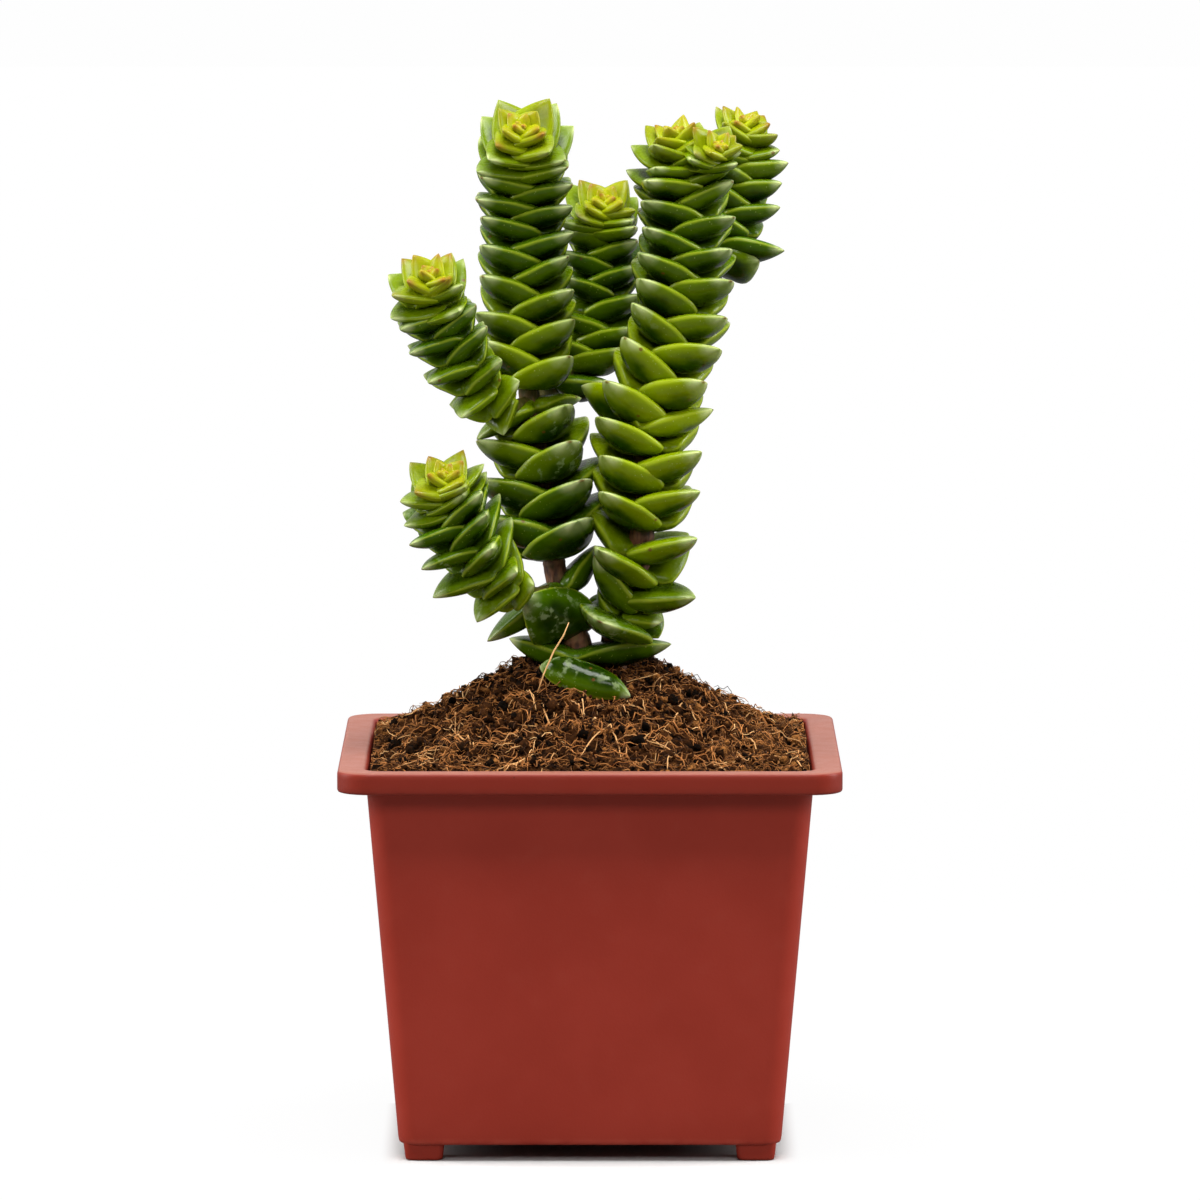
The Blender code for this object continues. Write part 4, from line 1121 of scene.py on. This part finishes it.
def leaf_skin():
    """Waxy skin: green that lightens to the margin, the upper side and the tip as painted light, with a
    painted highlight along the margin and pale painted highlights on the tips, grey wax flakes, small brown
    scars, and yellow rosettes with rosy tips."""
    material, w, shader = new_material("leaf_skin", IOR=1.42, Specular_IOR_Level=0.26,
                                       Subsurface_Weight=0.10, Subsurface_Scale=1.0)
    shader.inputs["Subsurface Radius"].default_value = (1.2 * MM, 2.0 * MM, 0.3 * MM)
    margin, along, upper = w.attribute("margin"), w.attribute("along"), w.attribute("upper")
    fresh, worn, tint, rose = (w.attribute(name) for name in ("fresh", "worn", "tint", "rose"))
    clouds = w.group(MOTTLE, Size=3.2 * MM, Detail=3.0)
    fine = w.group(MOTTLE, Size=0.8 * MM, Detail=4.0)
    flakes = w.group(MOTTLE, Size=1.5 * MM, Detail=6.0)
    dots = w.group(SPECKS, Cell=0.75 * MM, Radius=0.16)
    scars = w.group(SPECKS, Cell=4.5 * MM, Radius=0.08)
    grown = w.fade(rose, 0.0, 0.3, 1.0, 0.0)
    deep = w.mix(fresh, paint(8, 28, 0), paint(32, 63, 0))
    light = w.mix(fresh, paint(49, 87, 0), paint(131, 151, 0))
    # painted light over the leaf's own clouds and tint: lighter towards the margin, on the upper side and
    # towards the tip
    tone_and_painted_light = w.plus(w.times(clouds, 0.7), w.times(tint, 0.4), w.times(w.fade(margin, 0.35, 1.0), 0.7),
                    w.times(upper, 0.4), w.fade(along, 0.6, 0.92, 0.0, 0.6))
    colour = w.mix(w.fade(tone_and_painted_light, 0.45, 1.35), deep, light)
    # painted highlight: a thin pale line along the margin
    rim = w.times(w.fade(margin, 0.965, 0.997), 0.5)
    colour = w.mix(rim, colour, paint(176, 190, 50))
    pores = w.times(dots, w.fade(margin, 0.6, 0.95), 0.35)
    colour = w.mix(pores, colour, paint(190, 200, 110))
    bud = w.mix(w.fade(along, 0.45, 0.98), paint(176, 184, 10), paint(166, 146, 28))
    colour = w.mix(rose, colour, bud)
    blush = w.times(w.fade(along, 0.78, 1.0), w.fade(rose, 0.0, 0.4), w.fade(tint, 0.3, 0.7), 0.6)
    colour = w.mix(blush, colour, paint(150, 74, 36))
    # painted highlight: pale patches on the tips, for the shine the tips show
    painted_tip_highlight = w.times(w.fade(along, 0.78, 0.97), w.fade(margin, 0.3, 0.95, 0.25, 0.75),
                       w.fade(clouds, 0.35, 0.55, 0.5, 1.0), grown)
    colour = w.mix(painted_tip_highlight, colour, paint(212, 222, 158))
    scuffed = w.times(w.fade(flakes, 0.50, 0.62), w.fade(w.plus(along, worn), 1.35, 1.75),
                      w.fade(clouds, 0.44, 0.56))
    colour = w.mix(w.times(scuffed, 0.55), colour, paint(150, 168, 116))
    dry_tip = w.times(w.fade(along, 0.975, 0.995), w.fade(tint, 0.5, 0.7), 0.8)
    browned = w.times(w.maths("MAXIMUM", dry_tip, w.times(scars, 0.75)), grown)
    colour = w.mix(browned, colour, paint(104, 62, 28))
    rough = w.plus(w.fade(fine, 0.3, 0.7, 0.09, 0.21), w.times(scuffed, 0.2), w.times(upper, 0.12))
    coat(w, shader, colour, rough)
    waves = w.plus(w.times(fine, 0.5), w.times(clouds, 1.2))
    add_bump(w, shader, w.maths("SUBTRACT", waves, w.times(dots, 0.25)), 0.12 * MM, 0.4)
    return material


LEAF_SKIN = leaf_skin()


def unit(vector):
    return vector / np.linalg.norm(vector)


def lying_leaf(random):
    """The lowest leaf, which lies on the soil in front: a pair's two blades, foot to foot, are its ends."""
    ahead = unit(np.array((0.93, -0.26, -0.26)))
    side = unit(np.cross((0.0, 0.62, -0.78), ahead))
    axes = (np.array((-1.2, -8.2, 74.9)) * MM, ahead, side, np.cross(ahead, side))
    pair = Pair(0.0, 90, (8.8, 7.4), 3.0, (2, 4), 3.4, 0.2, 2.7, 0.5, 1.55, waist=1.0)
    return leaf_pair(axes, pair, random, curl=8.0, core=2.6)


def levelled(axes, share):
    """The axes with their up turned towards the world's up by a share."""
    place, _, _, up = axes
    up = unit(up * (1 - share) + np.array((0, 0, 1)) * share)
    back = unit(np.array((0, 1, 0)) - up * up[1])
    return place, np.cross(back, up), back, up


def make_whorls(shoot, seed):
    """Every whorl of a shoot as one piece of crossed pairs, counted from the shoot's foot."""
    random = np.random.default_rng(seed)
    route = Route(shoot.route)
    pairs = list_pairs(shoot)
    for number in range(shoot.whorls):
        first, following = (round(len(pairs) * n / shoot.whorls) for n in (number, number + 1))
        parts = [leaf_pair(levelled(route.frame(pair.along * MM), pair.level), pair, random)
                 for pair in pairs[first:following]]
        if (shoot.name, number) == ("left", 0):
            parts.append(lying_leaf(random))
        name = f"leaves_{shoot.name}_{number + 1:02d}"
        whorl = piece_from(f"{name}_blades", LEAF_SKIN, *join_parts(parts))
        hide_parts(name)


for number, shoot in enumerate(SHOOTS):
    make_whorls(shoot, 50 + number)

# ---------------------------------------------------------------------------------------- rosettes
# The growing tip of a shoot: young pairs that shrink and close round the bud, yellow-green with rosy tips.
# The right column carries two, side by side.
ROSETTE_SHARES = (0.94, 0.90, 0.86, 0.79, 0.71, 0.61, 0.51, 0.40, 0.29, 0.19)
ROSETTE_RISES = (0.0, 1.5, 2.8, 3.9, 4.8, 5.5, 6.1, 6.6, 7.0, 7.3)
ROSETTE_TILTS = (16, 19, 23, 28, 34, 40, 46, 53, 61, 70)
PLAIN_ROSETTE = 9.8
BUD_STATIONS = 13
BUD_RING = 16
BUD_CURL = 10
FIRST_NOD = 0.15
NOD_STEP = 0.17


def nodding(front, aside):
    """Back and up axes, tipped by degrees towards the front and to the right."""
    tip = np.array(Matrix.Rotation(math.radians(front), 3, Vector((1, 0, 0)))
                   @ Matrix.Rotation(math.radians(aside), 3, Vector((0, 1, 0))))
    return tip @ np.array((0, 1, 0)), tip @ np.array((0, 0, 1))


def rosette_pairs(place, upright, azimuth, size, nod, random):
    """The pairs of one growing tip, from the largest, which still stand on the stem's line, to the bud."""
    back, up = nodding(*nod)
    scale = size / PLAIN_ROSETTE
    parts = []
    for i, (share, rise, tilt) in enumerate(zip(ROSETTE_SHARES, ROSETTE_RISES, ROSETTE_TILTS)):
        turned = min(1.0, FIRST_NOD + NOD_STEP * i)
        axis = unit(upright * (1 - turned) + up * turned)
        side = unit(np.cross(back, axis))
        axes = (place + axis * rise * scale * MM, side, np.cross(axis, side), axis)
        length = size * share
        youth = i / (len(ROSETTE_SHARES) - 1)
        lengths = tuple(length * random.normal(1.0, 0.05, 2))
        tilts = tuple(tilt + random.normal(0, 4.0, 2))
        heading = azimuth + (90 * i + random.normal(0, 5.0))
        rolls = tuple(random.normal(0, 6.0, 2))
        pair = Pair(0.0, heading, lengths, 0.50 * length + 0.2, tilts, fresh=0.45 + 0.50 * youth,
                    belly=(0.35 + 1.35 * share) * scale, point=0.85, worn=0.0, rolls=rolls, waist=0.8)
        parts.append(leaf_pair(axes, pair, random, cup=0.5 * share, curl=BUD_CURL,
                               rose=max(0.0, youth - 0.2) / 0.8, stations=BUD_STATIONS, ring=BUD_RING,
                               core=(0.65 * share + 0.15) * scale))
    return parts


def make_rosette(shoot, seed):
    """The rosette of a shoot, with its twins where it has them, as one piece."""
    random = np.random.default_rng(seed)
    place, _, _, upright = Route(shoot.route).frame(shoot.rosette_at * MM)
    places, turn = shoot.runs[-1]
    azimuth = steps_between(shoot.azimuth, shoot.rosette_at) + 90 * ((turn + len(places)) % 2)
    parts = []
    for shift, size, nod in [((0, 0, 0), shoot.rosette_size, shoot.nod), *shoot.twins]:
        parts += rosette_pairs(place + np.array(shift) * MM, upright, azimuth, size, nod, random)
    rosette = piece_from(f"rosette_{shoot.name}_bud", LEAF_SKIN, *join_parts(parts))
    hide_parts(f"rosette_{shoot.name}")


for number, shoot in enumerate(SHOOTS):
    make_rosette(shoot, 80 + number)

# ========================================================================================== table
# A plain white table that fades into white all round. It takes the pot's soft shadow, and is darker in
# the light that it throws back than to the eye.
TABLE_HALF = 3.0
TABLE_GAP = 0.05 * MM
SHADOW_SHIFT = 4 * MM


def make_table():
    """One wide sheet just under the feet, lit like any surface near the pot and plain white further off."""
    material, w, shader = new_material("table_white", Roughness=0.9)
    rays = w.add("LightPath").outputs
    thrown_back = w.mix(rays["Is Glossy Ray"], paint(126, 126, 126), paint(100, 100, 100))
    w.put(w.mix(rays["Is Camera Ray"], thrown_back, paint(203, 203, 202)), shader.inputs["Base Color"])
    glow = w.add("Emission")
    w.put(paint(255, 255, 255), glow.inputs["Color"])
    w.put(1.0, glow.inputs["Strength"])
    spot = w.parts_of(w.own_place())
    depth = w.maths("ABSOLUTE", w.plus(spot["Y"], SHADOW_SHIFT))
    away = w.maths("MAXIMUM", w.maths("ABSOLUTE", spot["X"]), depth)
    far = w.fade(away, 0.98 * BODY_FOOT_HALF, 1.11 * BODY_FOOT_HALF, 0.0, 0.95)
    far = w.fade(away, 4 * BODY_FOOT_HALF, 12 * BODY_FOOT_HALF, far, 1.0)
    blend = w.add("MixShader")
    for value, socket in zip((w.times(rays["Is Camera Ray"], far), shader.outputs[0], glow.outputs[0]),
                             blend.inputs):
        w.put(value, socket)
    w.put(blend.outputs[0], material.node_tree.nodes["Material Output"].inputs["Surface"])
    mesh = bpy.data.meshes.new("table")
    corners = [(x * TABLE_HALF, y * TABLE_HALF, pot_low.z - TABLE_GAP)
               for x, y in ((-1, -1), (1, -1), (1, 1), (-1, 1))]
    mesh.from_pydata(corners, [], [(0, 1, 2, 3)])
    mesh.materials.append(material)
    table = new_object("table", mesh)


make_table()

# ========================================================================================== lamps
# Plain soft studio light: a large box overhead, a weaker one high in front, one at either side, and a
# bright wall behind.
AIM = Vector((0, 0, (cad_low.z + cad_high.z) / 2))
LAMPS = (
    ("overhead_box", (0.0, -0.35, 1.15), (0.7, 0.5), 16.5),
    ("front_box", (0.0, -1.55, 1.0), (0.9, 0.5), 9.8),
    ("left_box", (-0.80, 0.05, 0.50), (0.3, 0.8), 7.5),
    ("right_box", (0.80, 0.05, 0.50), (0.3, 0.8), 7.5),
)
ROOM_LIGHT = 0.08
WALL_LIGHT = 0.42


def add_lamp(name, place, size, power):
    """A rectangular box lamp that looks at the middle of the plant."""
    light = bpy.data.lights.new(name, "AREA")
    light.shape = "RECTANGLE"
    light.size, light.size_y = size
    light.energy = power
    lamp = new_object(name, light)
    lamp.location = place
    lamp.rotation_euler = (AIM - lamp.location).to_track_quat("-Z", "Y").to_euler()


def set_world():
    """White to the eye. On everything else it is the light of a bright wall behind and a dim room in front,
    and what shines shows the wall brighter above than below."""
    world = bpy.data.worlds.new("studio")
    world.use_nodes = True
    bpy.context.scene.world = world
    w = Wires(world.node_tree)
    backing = world.node_tree.nodes["Background"]
    heading = w.parts_of(w.add("TexCoord").outputs["Generated"])
    rays = w.add("LightPath").outputs
    mirrored = w.maths("MAXIMUM", rays["Is Glossy Ray"], rays["Is Transmission Ray"])
    shine = w.fade(heading["Z"], -0.40, 0.25, 0.15, 0.60)
    wall = w.fade(mirrored, 0.0, 1.0, WALL_LIGHT, shine)
    light = w.fade(heading["Y"], -0.42, 0.40, ROOM_LIGHT, wall)
    w.put(paint(254, 254, 254), backing.inputs["Color"])
    w.put(w.fade(rays["Is Camera Ray"], 0.0, 1.0, light, 1.0), backing.inputs["Strength"])


for lamp in LAMPS:
    add_lamp(*lamp)
set_world()

# ========================================================================================= camera
# A long lens from in front and a little above, looking slightly down on the plant's middle.
CAMERA_PLACE = (1.6 * MM, -1.664, 0.2686)
CAMERA_DOWN = 6.239
LENS = 311.25

view = bpy.data.cameras.new("camera")
view.lens = LENS
view.sensor_width = 36
view.clip_start = 0.05
camera = new_object("camera", view)
camera.location = CAMERA_PLACE
camera.rotation_euler = (math.radians(90 - CAMERA_DOWN), 0, 0)
bpy.context.scene.camera = camera
bpy.context.scene.view_settings.view_transform = "Standard"
